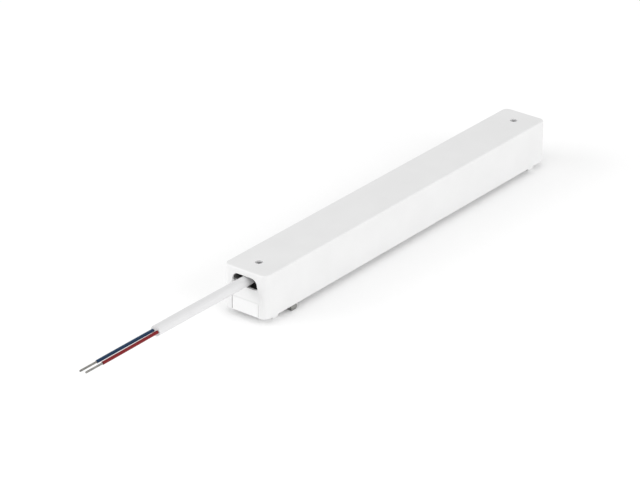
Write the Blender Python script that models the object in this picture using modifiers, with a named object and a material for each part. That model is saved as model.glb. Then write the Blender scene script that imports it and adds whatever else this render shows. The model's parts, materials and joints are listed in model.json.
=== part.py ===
"""A slim in-line LED driver: moulded cover and tray, circuit board, cable clamps and output lead.

X runs across the bar and Z is up. Y runs along it: the output lead leaves at -Y and the mains
side, with its empty cable mouth, is at +Y. The origin is on the surface that the feet stand on,
midway along the bar.
"""

import math

import bmesh
import bpy
import numpy as np
from mathutils import Matrix, Vector

MM = 0.001

# Clearances
GAP = 0.3 * MM
PANEL_GAP = 0.35 * MM
BOARD_SIDE_GAP = 0.4 * MM
HEADROOM = 1.3 * MM
OVERLAP = 0.5 * MM

# Housing
LENGTH = 270 * MM
WIDTH = 30 * MM
COVER_HEIGHT = 26.7 * MM
WALL = 1.8 * MM
PLAN_RADIUS = 4 * MM
TOP_FILLET = 1 * MM
RIM_WALL = 1 * MM
RIB_COUNT = 5
RIB_DEPTH = 0.6 * MM
RIB_WIDTH = 1.2 * MM

# Cable mouth, with the dish that leads down from it to the end panel
MOUTH_WIDTH = 17.5 * MM
MOUTH_HEIGHT = 8.4 * MM
MOUTH_DROP = 7.7 * MM
MOUTH_BACKING = 1.8 * MM
DISH_DEPTH = 1.3 * MM
DISH_FLARE = 6.2 * MM
DISH_LAND = 0.3 * MM

# Notch in the end wall and the tray's panel that fills it
NOTCH_WIDTH = 19 * MM
NOTCH_HEIGHT = 8.7 * MM
PANEL_THICKNESS = 2 * MM
GUSSET_DEPTH = 4 * MM
GUSSET_THICKNESS = 1.2 * MM

# Tray
FOOT_HEIGHT = 3.4 * MM
FOOT_LENGTH = 5 * MM
FOOT_WIDTH = 4 * MM
FOOT_END_INSET = 9 * MM
FOOT_SIDE_INSET = 2.2 * MM
FOOT_ROUNDING = 0.4 * MM
FLOOR = 1.8 * MM
RAIL_HEIGHT = 2.4 * MM
RAIL_THICKNESS = 1.4 * MM
CROSS_RIB_HEIGHT = 1 * MM
CROSS_RIB_THICKNESS = 1.2 * MM
BOARD_BOSS_RADIUS = 2.7 * MM

# Lead and cable clamps
LEAD_RADIUS = 3.15 * MM
LEAD_RISE = 0.4 * MM
CORE_RADIUS = 0.95 * MM
CORE_SPACING = 3.2 * MM
TINNED_RADIUS = 0.6 * MM
CLAMP_INSET = 12.9 * MM
CLAMP_LENGTH = 5.6 * MM
CLAMP_CROWN = 1 * MM
CLAMP_EAR_HEIGHT = 3 * MM
SADDLE_DEPTH = 8.6 * MM
SADDLE_WEB = 2.2 * MM

# Screws: shaft radius, head radius, head height
COVER_SCREW = (1.1 * MM, 1.9 * MM, 0.8 * MM)
CLAMP_SCREW = (1.2 * MM, 2.2 * MM, 1.3 * MM)
BOARD_SCREW = (1.1 * MM, 2.2 * MM, 1.3 * MM)
TAB_SCREW = (1.1 * MM, 2.1 * MM, 1.4 * MM)
TERMINAL_SCREW = (1.2 * MM, 1.7 * MM, 1.4 * MM)
SEAT = 0.6 * MM
SCREW_TIP = 0.2 * MM
SCREW_TAPER = 0.4 * MM
CLAMP_SCREW_BITE = 6 * MM
BOARD_SCREW_BITE = 2.6 * MM
SLOT_WIDTH = 0.6 * MM
SLOT_DEPTH = 0.5 * MM

# Retaining clip, a bent steel strip with a lug at each long edge
CLIP_INSET = 21.7 * MM
CLIP_WIDTH = 6.1 * MM
CLIP_THICKNESS = 1 * MM
CLIP_BEND = 0.3 * MM
CLIP_SIDE_INSET = 0.15 * MM
CLIP_GROUND_GAP = 0.15 * MM
LUG_CORNER = 1.6 * MM
POST_SPACING = 12 * MM
POST_RADIUS = 1.2 * MM
POST_HEAD_RADIUS = 2.1 * MM
POST_HEAD_HEIGHT = 0.7 * MM

# Circuit board and its parts
CABLE_BAY = 29 * MM
BOARD_THICKNESS = 1.6 * MM
BOARD_CORNER = 1 * MM
PIN_RADIUS = 0.4 * MM
PIN_TAIL = 1.1 * MM
STANDOFF = 0.3 * MM
OUTPUT_ENTRY_LEVEL = 4.6 * MM

# Where each level lies above the surface that the feet stand on
RIM = FOOT_HEIGHT
COVER_TOP = RIM + COVER_HEIGHT
CEILING = COVER_TOP - WALL
FLOOR_TOP = RIM + FLOOR
RAIL_TOP = FLOOR_TOP + RAIL_HEIGHT
BOARD_TOP = RAIL_TOP + GAP + BOARD_THICKNESS
ROOM = CEILING - BOARD_TOP
MOUTH_LEVEL = COVER_TOP - MOUTH_DROP
LEAD_LEVEL = MOUTH_LEVEL + LEAD_RISE
GROOVE_RADIUS = LEAD_RADIUS + GAP
BRIDGE_TOP = LEAD_LEVEL + GROOVE_RADIUS + CLAMP_CROWN
EAR_TOP = LEAD_LEVEL + CLAMP_EAR_HEIGHT
SADDLE_TOP = LEAD_LEVEL - GAP / 2
SADDLE_FOOT = SADDLE_TOP - SADDLE_DEPTH
POST_TOP = SADDLE_FOOT - GAP
BOSS_END = BRIDGE_TOP + GAP
COUNTERBORE_FLOOR = BOSS_END + SEAT

# Widths and lengths that follow from the housing
INNER_WIDTH = WIDTH - 2 * WALL
CLAMP_HUMP_WIDTH = INNER_WIDTH * 11 / 26.4
CLAMP_SCREW_SPACING = CLAMP_HUMP_WIDTH + 2 * (CLAMP_SCREW[1] + 0.5 * MM)
TRAY_WIDTH = WIDTH - 2 * (RIM_WALL + GAP)
TRAY_LENGTH = LENGTH - 2 * (RIM_WALL + GAP)
BOARD_WIDTH = INNER_WIDTH - 2 * (RIB_DEPTH + BOARD_SIDE_GAP)
BOARD_LENGTH = LENGTH - 2 * CABLE_BAY
TALL_PART = ROOM - HEADROOM

# Parts whose size is chosen for the height that is free above the board
CHOKE_REACH = 0.4514 * TALL_PART
TAB_TOP = 0.9486 * TALL_PART
BOBBIN_AXIS = 0.4571 * TALL_PART
BOBBIN_HEIGHT = 0.7429 * TALL_PART
CORE_THICKNESS = 0.2857 * TALL_PART

# Finishes: colour, roughness, metallic
WHITE_PLASTIC = ((0.86, 0.86, 0.86), 0.45, 0.0)
WHITE_SHEATH = ((0.8, 0.8, 0.8), 0.4, 0.0)
BLUE_SHEATH = ((0.02, 0.06, 0.18), 0.4, 0.0)
RED_SHEATH = ((0.35, 0.03, 0.04), 0.4, 0.0)
TINNED = ((0.6, 0.59, 0.55), 0.35, 1.0)
ZINC = ((0.45, 0.45, 0.46), 0.35, 1.0)
SPRING_STEEL = ((0.25, 0.25, 0.24), 0.4, 1.0)
ALUMINIUM = ((0.75, 0.76, 0.78), 0.35, 1.0)
BOARD_GREEN = ((0.03, 0.17, 0.07), 0.4, 0.0)
BLACK_RESIN = ((0.02, 0.02, 0.02), 0.5, 0.0)
BLACK_NYLON = ((0.015, 0.015, 0.015), 0.5, 0.0)
FERRITE = ((0.05, 0.05, 0.055), 0.6, 0.0)
COPPER = ((0.55, 0.2, 0.08), 0.35, 1.0)
YELLOW_TAPE = ((0.75, 0.5, 0.05), 0.35, 0.0)
YELLOW_BOX = ((0.7, 0.5, 0.08), 0.45, 0.0)
BLUE_DISC = ((0.03, 0.12, 0.35), 0.4, 0.0)
GREEN_BLOCK = ((0.04, 0.3, 0.12), 0.45, 0.0)
FUSE_BROWN = ((0.12, 0.06, 0.04), 0.4, 0.0)
CAN_SLEEVE = ((0.03, 0.04, 0.07), 0.35, 0.0)

PARTS = bpy.data.collections.new("led_driver")
TOOLS = bpy.data.collections.new("cutters")
SIDES = ((-1, "left"), (1, "right"))
ENDS = ((-1, "lead"), (1, "mains"))

# Where the board is drilled: filled in as the parts that have pins are made
pin_places = []


def piece(name, data, finish, place=(0, 0, 0), turn=(0, 0, 0), parent=None):
    """One named sub-part with a material of its own."""
    obj = bpy.data.objects.new(name, data)
    PARTS.objects.link(obj)
    obj.location = place
    obj.rotation_euler = turn
    obj.parent = parent
    colour, roughness, metallic = finish
    material = bpy.data.materials.new(name)
    material.use_nodes = True
    shader = material.node_tree.nodes["Principled BSDF"]
    shader.inputs["Base Color"].default_value = (*colour, 1)
    shader.inputs["Roughness"].default_value = roughness
    shader.inputs["Metallic"].default_value = metallic
    material.diffuse_color = (*colour, 1)
    data.materials.append(material)
    return obj


def tool(name, mesh, parent=None):
    """A shape that only cuts or joins, kept out of the model itself."""
    obj = bpy.data.objects.new(name, mesh)
    TOOLS.objects.link(obj)
    obj.parent = parent
    obj.hide_render = True
    obj.display_type = "WIRE"
    return obj


def combine(obj, mesh, operation):
    """Cuts a mesh from obj or joins one to it. The mesh is in the frame that obj stands in."""
    other = tool(mesh.name, mesh, obj.parent)
    modifier = obj.modifiers.new(mesh.name, "BOOLEAN")
    modifier.operation = operation
    modifier.solver = "EXACT"
    modifier.object = other


def cut(obj, mesh):
    combine(obj, mesh, "DIFFERENCE")


def join(obj, mesh):
    combine(obj, mesh, "UNION")


def finished(name, bm):
    """The bmesh as a mesh with its faces pointing out, smooth where it is round."""
    bmesh.ops.recalc_face_normals(bm, faces=bm.faces)
    mesh = bpy.data.meshes.new(name)
    bm.to_mesh(mesh)
    bm.free()
    mesh.shade_smooth()
    mesh.set_sharp_from_angle(angle=math.radians(35))
    return mesh


def add_block(bm, size, centre, rounding=0.0):
    """Adds a box. Its edges are rounded where a rounding is given."""
    made = bmesh.ops.create_cube(bm, size=1, matrix=Matrix.LocRotScale(Vector(centre), None, Vector(size)))
    if rounding:
        edges = {edge for vert in made["verts"] for edge in vert.link_edges}
        bmesh.ops.bevel(bm, geom=list(edges), offset=rounding, segments=2, profile=0.5, affect="EDGES")


def add_rod(bm, radius, start, end, sides=16):
    """Adds a round bar from one point to another."""
    start, end = Vector(start), Vector(end)
    along = end - start
    matrix = Matrix.Translation((start + end) / 2) @ along.to_track_quat("Z", "Y").to_matrix().to_4x4()
    bmesh.ops.create_cone(
        bm, cap_ends=True, segments=sides, radius1=radius, radius2=radius, depth=along.length, matrix=matrix
    )


def block(name, size, centre, rounding=0.0):
    bm = bmesh.new()
    add_block(bm, size, centre, rounding)
    return finished(name, bm)


def rod(name, radius, start, end, sides=16):
    bm = bmesh.new()
    add_rod(bm, radius, start, end, sides)
    return finished(name, bm)


def rounded_outline(width, length, radius, steps=6):
    """The corner points of a rectangle with rounded corners, anticlockwise."""
    points = []
    for corner in range(4):
        middle = math.pi / 4 + corner * math.pi / 2
        x = math.copysign(width / 2 - radius, math.cos(middle))
        y = math.copysign(length / 2 - radius, math.sin(middle))
        for step in range(steps + 1):
            angle = corner * math.pi / 2 + step * math.pi / 2 / steps
            points.append((x + radius * math.cos(angle), y + radius * math.sin(angle)))
    return points


def plate(name, outline, low, high):
    """A flat outline with thickness, from height low to height high, as a mesh."""
    curve = bpy.data.curves.new(name + "_outline", "CURVE")
    curve.dimensions = "2D"
    curve.fill_mode = "BOTH"
    curve.extrude = (high - low) / 2
    spline = curve.splines.new("POLY")
    spline.points.add(len(outline) - 1)
    for point, (x, y) in zip(spline.points, outline):
        point.co = (x, y, 0, 1)
    spline.use_cyclic_u = True
    guide = bpy.data.objects.new(name + "_outline", curve)
    TOOLS.objects.link(guide)
    bpy.context.view_layer.update()
    evaluated = guide.evaluated_get(bpy.context.evaluated_depsgraph_get())
    mesh = bpy.data.meshes.new_from_object(evaluated)
    bpy.data.objects.remove(guide)
    bm = bmesh.new()
    bm.from_mesh(mesh)
    bpy.data.meshes.remove(mesh)
    bmesh.ops.remove_doubles(bm, verts=bm.verts, dist=0.00001)
    bmesh.ops.translate(bm, verts=bm.verts, vec=(0, 0, (low + high) / 2))
    return finished(name, bm)


def moved(mesh, matrix):
    """The mesh, moved by a matrix."""
    mesh.transform(matrix)
    return mesh


def turned(name, profile, finish, place, steps=16, turn=(0, 0, 0), parent=None):
    """A piece turned about its own Z. The profile of (radius, height) runs down its outer side."""
    mesh = bpy.data.meshes.new(name)
    mesh.from_pydata([(r, 0, z) for r, z in profile], [(i, i + 1) for i in range(len(profile) - 1)], [])
    obj = piece(name, mesh, finish, place, turn, parent)
    screw = obj.modifiers.new("turn", "SCREW")
    screw.axis = "Z"
    screw.steps = steps
    screw.render_steps = steps
    screw.use_merge_vertices = True
    screw.merge_threshold = 0.00001
    return obj


def screw(name, sizes, reach, finish, place, turn=(0, 0, 0), parent=None):
    """A pan-head screw: its head stands on place, its shaft reaches down, and its head is slotted."""
    shaft, head, height = sizes
    profile = [
        (0, height),
        (head * 0.7, height),
        (head, height * 0.6),
        (head, 0),
        (shaft, 0),
        (shaft, SCREW_TAPER - reach),
        (shaft * 0.5, -reach),
        (0, -reach),
    ]
    obj = turned(name, profile, finish, place, 12, turn, parent)
    slot = block(name + "_slot", (3 * head, SLOT_WIDTH, 2 * SLOT_DEPTH), (0, 0, height))
    cut(obj, moved(slot, Matrix.LocRotScale(obj.location, obj.rotation_euler, None)))
    return obj


def smooth_line(route, spacing):
    """Evenly spaced points on one smooth curve through the route's own points."""
    knots = np.array(route)
    knots = np.vstack([2 * knots[0] - knots[1], knots, 2 * knots[-1] - knots[-2]])
    line = []
    for a, b, c, d in zip(knots, knots[1:], knots[2:], knots[3:]):
        for t in np.arange(0, 1, 0.05):
            bend = (2 * a - 5 * b + 4 * c - d) * t**2 + (3 * b - a - 3 * c + d) * t**3
            line.append((2 * b + (c - a) * t + bend) / 2)
    line = np.array([*line, knots[-2]])
    travelled = np.concatenate([[0], np.cumsum(np.linalg.norm(np.diff(line, axis=0), axis=1))])
    count = max(2, round(travelled[-1] / spacing) + 1)
    wanted = np.linspace(0, travelled[-1], count)
    return np.stack([np.interp(wanted, travelled, line[:, axis]) for axis in range(3)], axis=1)


def wire(name, route, radius, finish, spacing, place=(0, 0, 0), resolution=2):
    """A round wire or cable along a route, with closed ends."""
    curve = bpy.data.curves.new(name, "CURVE")
    curve.dimensions = "3D"
    curve.bevel_depth = radius
    curve.bevel_resolution = resolution
    curve.use_fill_caps = True
    points = smooth_line(route, spacing)
    spline = curve.splines.new("POLY")
    spline.points.add(len(points) - 1)
    for point, (x, y, z) in zip(spline.points, points):
        point.co = (x, y, z, 1)
    return piece(name, curve, finish, place)


def add_pins(obj, offsets, reach):
    """Joins straight pins to a part on the board and notes where the board has to be drilled."""
    bm = bmesh.new()
    for x, y in offsets:
        centre = Vector((obj.location.x + x, obj.location.y + y))
        pin_places.append(centre)
        foot = -BOARD_THICKNESS - PIN_TAIL
        add_rod(bm, PIN_RADIUS, (*centre, foot), (*centre, STANDOFF + reach), 6)
    join(obj, finished(obj.name + "_pins", bm))


# Housing


def dish_rings():
    """Rings of the tool that cuts a cable mouth with its dish, as (depth behind the face, points)."""
    end_radius = MOUTH_HEIGHT / 2
    straight = MOUTH_WIDTH / 2 - end_radius
    fall = MOUTH_LEVEL - end_radius - (RIM + NOTCH_HEIGHT + DISH_LAND)
    steps = 24

    def ring(share):
        """The mouth's outline, spread by a share of the dish: flat at the top, widest at the sides."""
        points = []
        for step in range(steps):
            angle = 2 * math.pi * (step + 0.5) / steps
            across, up = math.cos(angle), math.sin(angle)
            side = math.copysign(1, across)
            spread = eased(1 - up)
            drop = eased((0.4 - up) / 1.4)
            x = side * (straight + share * DISH_FLARE * spread) + end_radius * across
            points.append((x, MOUTH_LEVEL + end_radius * up - share * fall * drop))
        return points

    rings = [(WALL + MOUTH_BACKING + OVERLAP, ring(0))]
    for share in (0, 0.25, 0.5, 0.75, 1):
        rings.append((DISH_DEPTH * (1 - share) ** 1.5, ring(share)))
    rings.append((-OVERLAP, ring(1)))
    return rings


def eased(share):
    """A smooth step from 0 to 1."""
    share = min(max(share, 0), 1)
    return share * share * (3 - 2 * share)


def mouth_tool(end):
    """Cuts a cable mouth: a loft through the dish's rings, closed at both ends."""
    bm = bmesh.new()
    loops = []
    for depth, points in dish_rings():
        y = end * (LENGTH / 2 - depth)
        loops.append([bm.verts.new((x, y, z)) for x, z in points])
    for first, second in zip(loops, loops[1:]):
        for i in range(len(first)):
            bm.faces.new((first[i - 1], first[i], second[i], second[i - 1]))
    bm.faces.new(loops[0])
    bm.faces.new(loops[-1])
    return finished(f"mouth_{end:+d}", bm)


def counterbore_tool(end):
    """Cuts the recess for a cover screw's head and the hole for its shaft."""
    shaft, head, _ = COVER_SCREW
    y = end * (LENGTH / 2 - CLAMP_INSET)
    bm = bmesh.new()
    add_rod(bm, head + GAP, (0, y, COUNTERBORE_FLOOR), (0, y, COVER_TOP + OVERLAP), 24)
    mesh = finished(f"counterbore_{end:+d}", bm)
    bore = rod(f"cover_hole_{end:+d}", shaft + GAP, (0, y, BOSS_END - OVERLAP), (0, y, COVER_TOP), 16)
    return mesh, bore


def make_cover():
    outer = plate("cover", rounded_outline(WIDTH, LENGTH, PLAN_RADIUS), RIM, COVER_TOP)
    bm = bmesh.new()
    bm.from_mesh(outer)
    top = [e for e in bm.edges if all(v.co.z > COVER_TOP - OVERLAP for v in e.verts) and len(e.link_faces) == 2]
    top = [e for e in top if abs(e.calc_face_angle()) > 1]
    bmesh.ops.bevel(bm, geom=top, offset=TOP_FILLET, segments=3, profile=0.5, affect="EDGES")
    bm.to_mesh(outer)
    bm.free()
    cover = piece("cover", outer, WHITE_PLASTIC)

    inner = rounded_outline(INNER_WIDTH, LENGTH - 2 * WALL, PLAN_RADIUS - WALL)
    cut(cover, plate("cover_cavity", inner, RIM - OVERLAP, CEILING))

    bm = bmesh.new()
    backing_low = RIM + NOTCH_HEIGHT
    backing_high = CEILING + OVERLAP
    for end, _ in ENDS:
        size = (INNER_WIDTH + OVERLAP, MOUTH_BACKING + OVERLAP, backing_high - backing_low)
        middle = end * (LENGTH / 2 - WALL - (MOUTH_BACKING - OVERLAP) / 2)
        add_block(bm, size, (0, middle, (backing_low + backing_high) / 2))
        y = end * (LENGTH / 2 - CLAMP_INSET)
        add_rod(bm, COVER_SCREW[1] + GAP + WALL, (0, y, BOSS_END), (0, y, CEILING + OVERLAP), 24)
    rib_low = RAIL_TOP + GAP
    for side, _ in SIDES:
        for index in range(RIB_COUNT):
            y = BOARD_LENGTH * ((index + 1) / (RIB_COUNT + 1) - 0.5)
            x = side * (INNER_WIDTH / 2 - (RIB_DEPTH - OVERLAP) / 2)
            size = (RIB_DEPTH + OVERLAP, RIB_WIDTH, CEILING + OVERLAP - rib_low)
            add_block(bm, size, (x, y, (CEILING + OVERLAP + rib_low) / 2))
    join(cover, finished("cover_inner_forms", bm))

    rim = rounded_outline(WIDTH - 2 * RIM_WALL, LENGTH - 2 * RIM_WALL, PLAN_RADIUS - RIM_WALL)
    cut(cover, plate("cover_rim_rebate", rim, RIM - OVERLAP, RIM + FLOOR + GAP))

    bm = bmesh.new()
    for end, _ in ENDS:
        size = (NOTCH_WIDTH, 2 * (WALL + OVERLAP), NOTCH_HEIGHT + OVERLAP)
        add_block(bm, size, (0, end * LENGTH / 2, RIM + (NOTCH_HEIGHT - OVERLAP) / 2))
    cut(cover, finished("cover_notches", bm))
    for end, _ in ENDS:
        cut(cover, mouth_tool(end))
        for mesh in counterbore_tool(end):
            cut(cover, mesh)
    return cover


def tray_outline():
    """The floor's outline, which fills the rebate in the cover's rim."""
    return rounded_outline(TRAY_WIDTH, TRAY_LENGTH, PLAN_RADIUS - RIM_WALL - GAP)


def gusset_mesh(name, x, end):
    """A triangular rib that stiffens an end panel from behind."""
    rise = NOTCH_HEIGHT - PANEL_GAP - FLOOR
    outline = [(-OVERLAP, -OVERLAP), (GUSSET_DEPTH, -OVERLAP), (-OVERLAP, rise)]
    mesh = plate(name, outline, -GUSSET_THICKNESS / 2, GUSSET_THICKNESS / 2)
    upright = Matrix(((0, 0, -end, 0), (-end, 0, 0, 0), (0, 1, 0, 0), (0, 0, 0, 1)))
    place = Matrix.Translation((x, end * (LENGTH / 2 - PANEL_THICKNESS), FLOOR_TOP))
    return moved(mesh, place @ upright)


def make_tray(row_at):
    tray = piece("base_tray", plate("base_tray", tray_outline(), RIM, FLOOR_TOP), WHITE_PLASTIC)

    # Rails under the board's long edges, with cross ribs between them
    bm = bmesh.new()
    for side, _ in SIDES:
        x = side * (INNER_WIDTH / 2 - GAP - RAIL_THICKNESS / 2)
        size = (RAIL_THICKNESS, BOARD_LENGTH, RAIL_HEIGHT + OVERLAP)
        add_block(bm, size, (x, 0, RAIL_TOP - (RAIL_HEIGHT + OVERLAP) / 2))
    join(tray, finished("tray_rails", bm))
    bm = bmesh.new()
    for index in range(RIB_COUNT):
        y = BOARD_LENGTH * ((index + 1) / (RIB_COUNT + 1) - 0.5)
        size = (INNER_WIDTH - 2 * GAP - RAIL_THICKNESS, CROSS_RIB_THICKNESS, CROSS_RIB_HEIGHT + OVERLAP)
        add_block(bm, size, (0, y, FLOOR_TOP + (CROSS_RIB_HEIGHT - OVERLAP) / 2))
    join(tray, finished("tray_cross_ribs", bm))

    # End panels, which fill the cover's notches, and feet
    bm = bmesh.new()
    for end, _ in ENDS:
        size = (NOTCH_WIDTH - 2 * PANEL_GAP, PANEL_THICKNESS, NOTCH_HEIGHT - PANEL_GAP)
        add_block(bm, size, (0, end * (LENGTH - PANEL_THICKNESS) / 2, RIM + (NOTCH_HEIGHT - PANEL_GAP) / 2))
        for side, _ in SIDES:
            x = side * (WIDTH / 2 - FOOT_SIDE_INSET - FOOT_WIDTH / 2)
            y = end * (LENGTH / 2 - FOOT_END_INSET - FOOT_LENGTH / 2)
            size = (FOOT_WIDTH, FOOT_LENGTH, FOOT_HEIGHT + OVERLAP)
            add_block(bm, size, (x, y, (FOOT_HEIGHT + OVERLAP) / 2), FOOT_ROUNDING)
    join(tray, finished("tray_panels_and_feet", bm))
    for end, _ in ENDS:
        for side, _ in SIDES:
            x = side * (NOTCH_WIDTH / 2 - PANEL_GAP - 2 * GUSSET_THICKNESS)
            join(tray, gusset_mesh(f"gusset_{end:+d}{side:+d}", x, end))

    # A pair of posts, joined by a web, under each cable clamp
    shaft = CLAMP_SCREW[0] + GAP
    low = RIM + OVERLAP
    webs, posts, pilots = (bmesh.new() for _ in range(3))
    for end, _ in ENDS:
        y = end * (LENGTH / 2 - CLAMP_INSET)
        add_block(webs, (CLAMP_SCREW_SPACING, SADDLE_WEB, POST_TOP - low), (0, y, (POST_TOP + low) / 2))
        for side, _ in SIDES:
            x = side * CLAMP_SCREW_SPACING / 2
            add_rod(posts, CLAMP_LENGTH / 2, (x, y, low), (x, y, POST_TOP))
            add_rod(pilots, shaft, (x, y, POST_TOP - CLAMP_SCREW_BITE - GAP), (x, y, POST_TOP + OVERLAP), 12)
    join(tray, finished("clamp_webs", webs))
    join(tray, finished("clamp_posts", posts))

    # Bosses for the board's two screws
    shaft = BOARD_SCREW[0] + GAP
    bm = bmesh.new()
    for _, label in ENDS:
        y = row_at[f"{label}_screw"]
        add_rod(bm, BOARD_BOSS_RADIUS, (0, y, RIM + OVERLAP), (0, y, RAIL_TOP))
        add_rod(pilots, shaft, (0, y, RAIL_TOP - BOARD_SCREW_BITE - GAP), (0, y, RAIL_TOP + OVERLAP), 12)
    join(tray, finished("board_bosses", bm))
    cut(tray, finished("screw_pilots", pilots))

    # Posts that hold the clip, with heads swaged over it
    bm = bmesh.new()
    y = CLIP_INSET + CLIP_WIDTH / 2 - LENGTH / 2
    head_top = RIM - GAP - CLIP_THICKNESS - GAP
    for side, _ in SIDES:
        x = side * POST_SPACING / 2
        add_rod(bm, POST_RADIUS, (x, y, head_top - POST_HEAD_HEIGHT / 2), (x, y, RIM + OVERLAP))
    join(tray, finished("clip_posts", bm))
    bm = bmesh.new()
    for side, _ in SIDES:
        x = side * POST_SPACING / 2
        add_rod(bm, POST_HEAD_RADIUS, (x, y, head_top - POST_HEAD_HEIGHT), (x, y, head_top))
    join(tray, finished("clip_post_heads", bm))
    return tray


def make_clip():
    """The retaining clip: a strip under the tray, bent down into a lug at each long edge."""
    side = WIDTH / 2 - CLIP_SIDE_INSET
    top = RIM - GAP
    half = [(0, top)]
    for step in range(5):
        angle = math.pi / 2 * (1 - step / 4)
        radius = CLIP_BEND + CLIP_THICKNESS
        half.append((side - radius + radius * math.cos(angle), top - radius + radius * math.sin(angle)))
    half.append((side, CLIP_GROUND_GAP))
    section = [(-x, z) for x, z in reversed(half[1:])] + half
    near = CLIP_INSET - LENGTH / 2
    bm = bmesh.new()
    rows = [[bm.verts.new((x, y, z)) for x, z in section] for y in (near, near + CLIP_WIDTH)]
    for i in range(len(section) - 1):
        bm.faces.new((rows[0][i], rows[0][i + 1], rows[1][i + 1], rows[1][i]))
    corners = [v for v in bm.verts if v.co.z < top / 2 and v.co.y > near + CLIP_WIDTH / 2 and len(v.link_edges) == 2]
    bmesh.ops.bevel(bm, geom=corners, offset=LUG_CORNER, segments=4, profile=0.5, affect="VERTICES")
    bmesh.ops.recalc_face_normals(bm, faces=bm.faces)
    if sum(face.normal.z for face in bm.faces) < 0:
        bmesh.ops.reverse_faces(bm, faces=bm.faces)
    mesh = bpy.data.meshes.new("retaining_clip")
    bm.to_mesh(mesh)
    bm.free()
    clip = piece("retaining_clip", mesh, SPRING_STEEL)
    wall = clip.modifiers.new("wall", "SOLIDIFY")
    wall.thickness = CLIP_THICKNESS
    wall.offset = -1
    wall.use_even_offset = True
    bm = bmesh.new()
    for sign, _ in SIDES:
        x = sign * POST_SPACING / 2
        add_rod(bm, POST_RADIUS + GAP, (x, near + CLIP_WIDTH / 2, 0), (x, near + CLIP_WIDTH / 2, RIM))
    cut(clip, finished("clip_holes", bm))
    return clip


def make_clamp(end, label):
    """The saddle that a cable lies in and the bridge that presses on it, with their screws."""
    y = end * (LENGTH / 2 - CLAMP_INSET)
    width = CLAMP_SCREW_SPACING + CLAMP_LENGTH
    low = LEAD_LEVEL + GAP / 2
    name = label + "_clamp"
    ears = block(name, (width, CLAMP_LENGTH, EAR_TOP - low), (0, y, (EAR_TOP + low) / 2))
    bridge = piece(name, ears, BLACK_NYLON)
    size = (CLAMP_HUMP_WIDTH, CLAMP_LENGTH, BRIDGE_TOP - low - OVERLAP)
    join(bridge, block(name + "_hump", size, (0, y, (BRIDGE_TOP + low + OVERLAP) / 2)))
    name = label + "_saddle"
    middle = (0, y, (SADDLE_TOP + SADDLE_FOOT) / 2)
    saddle = piece(name, block(name, (width, CLAMP_LENGTH, SADDLE_DEPTH), middle), BLACK_NYLON)

    bm = bmesh.new()
    for side, _ in SIDES:
        x = side * CLAMP_SCREW_SPACING / 2
        add_rod(bm, CLAMP_SCREW[0] + GAP, (x, y, SADDLE_FOOT - OVERLAP), (x, y, EAR_TOP + OVERLAP), 12)
    holes = finished(label + "_clamp_holes", bm)
    reach = CLAMP_LENGTH / 2 + OVERLAP
    groove = rod(label + "_groove", GROOVE_RADIUS, (0, y - reach, LEAD_LEVEL), (0, y + reach, LEAD_LEVEL), 24)
    for half in (bridge, saddle):
        cut(half, holes)
        cut(half, groove)
    bore = (0, y, LEAD_LEVEL), (0, y, BRIDGE_TOP + OVERLAP)
    cut(bridge, rod(label + "_cover_screw_bore", COVER_SCREW[0] + GAP, *bore, 12))

    reach = EAR_TOP + GAP - POST_TOP + CLAMP_SCREW_BITE
    for side, where in SIDES:
        seat = (side * CLAMP_SCREW_SPACING / 2, y, EAR_TOP + GAP)
        screw(f"{label}_clamp_screw_{where}", CLAMP_SCREW, reach, ZINC, seat)
    seat = COUNTERBORE_FLOOR + GAP
    reach = seat - (LEAD_LEVEL + GROOVE_RADIUS + SCREW_TIP)
    screw(f"cover_screw_{label}", COVER_SCREW, reach, ZINC, (0, y, seat))


# Circuit board. Each row of parts takes its depth along Y, in millimetres, from the mains end

ROWS = [
    ("mains_screw", 5),
    ("mains_terminal", 10),
    ("protection", 9),
    ("filter_capacitor", 8),
    ("filter_choke", 9),
    ("rectifier", 4),
    ("bulk_capacitor", 13),
    ("power_switch", 16),
    ("transformer", 20),
    ("isolation", 6),
    ("output_diode", 6),
    ("output_capacitor_1", 10),
    ("output_capacitor_2", 10),
    ("output_choke", 12),
    ("output_terminal", 9),
    ("lead_screw", 5),
]


def rows_along_board():
    """Spreads the rows over the board with equal gaps and gives the middle of each."""
    free = BOARD_LENGTH - sum(depth for _, depth in ROWS) * MM
    gap = free / (len(ROWS) + 1)
    row_at = {}
    edge = BOARD_LENGTH / 2
    for name, depth in ROWS:
        edge -= gap
        row_at[name] = edge - depth * MM / 2
        edge -= depth * MM
    return row_at


def on_board(name, mesh, finish, x, y, board_frame):
    """A part that stands on the board. Its mesh has its underside at height 0."""
    return piece(name, mesh, finish, (x, y, STANDOFF), parent=board_frame)


def box_part(name, size, finish, x, y, board_frame, pins, rounding=0.4 * MM):
    """A box-shaped part with pins, such as a film capacitor or a chip."""
    mesh = block(name, size, (0, 0, size[2] / 2), rounding)
    obj = on_board(name, mesh, finish, x, y, board_frame)
    add_pins(obj, pins, size[2] / 2)
    return obj


def can_part(name, radius, height, x, y, board_frame):
    """An electrolytic capacitor: a sleeved can with a rolled groove near its foot."""
    profile = [
        (0, height),
        (radius * 0.8, height),
        (radius, height - 0.5 * MM),
        (radius, 2.4 * MM),
        (radius * 0.93, 1.9 * MM),
        (radius, 1.4 * MM),
        (radius, 0),
        (0, 0),
    ]
    obj = turned(name, profile, CAN_SLEEVE, (x, y, STANDOFF), 20, parent=board_frame)
    add_pins(obj, [(-2.5 * MM, 0), (2.5 * MM, 0)], 1 * MM)
    return obj


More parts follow.
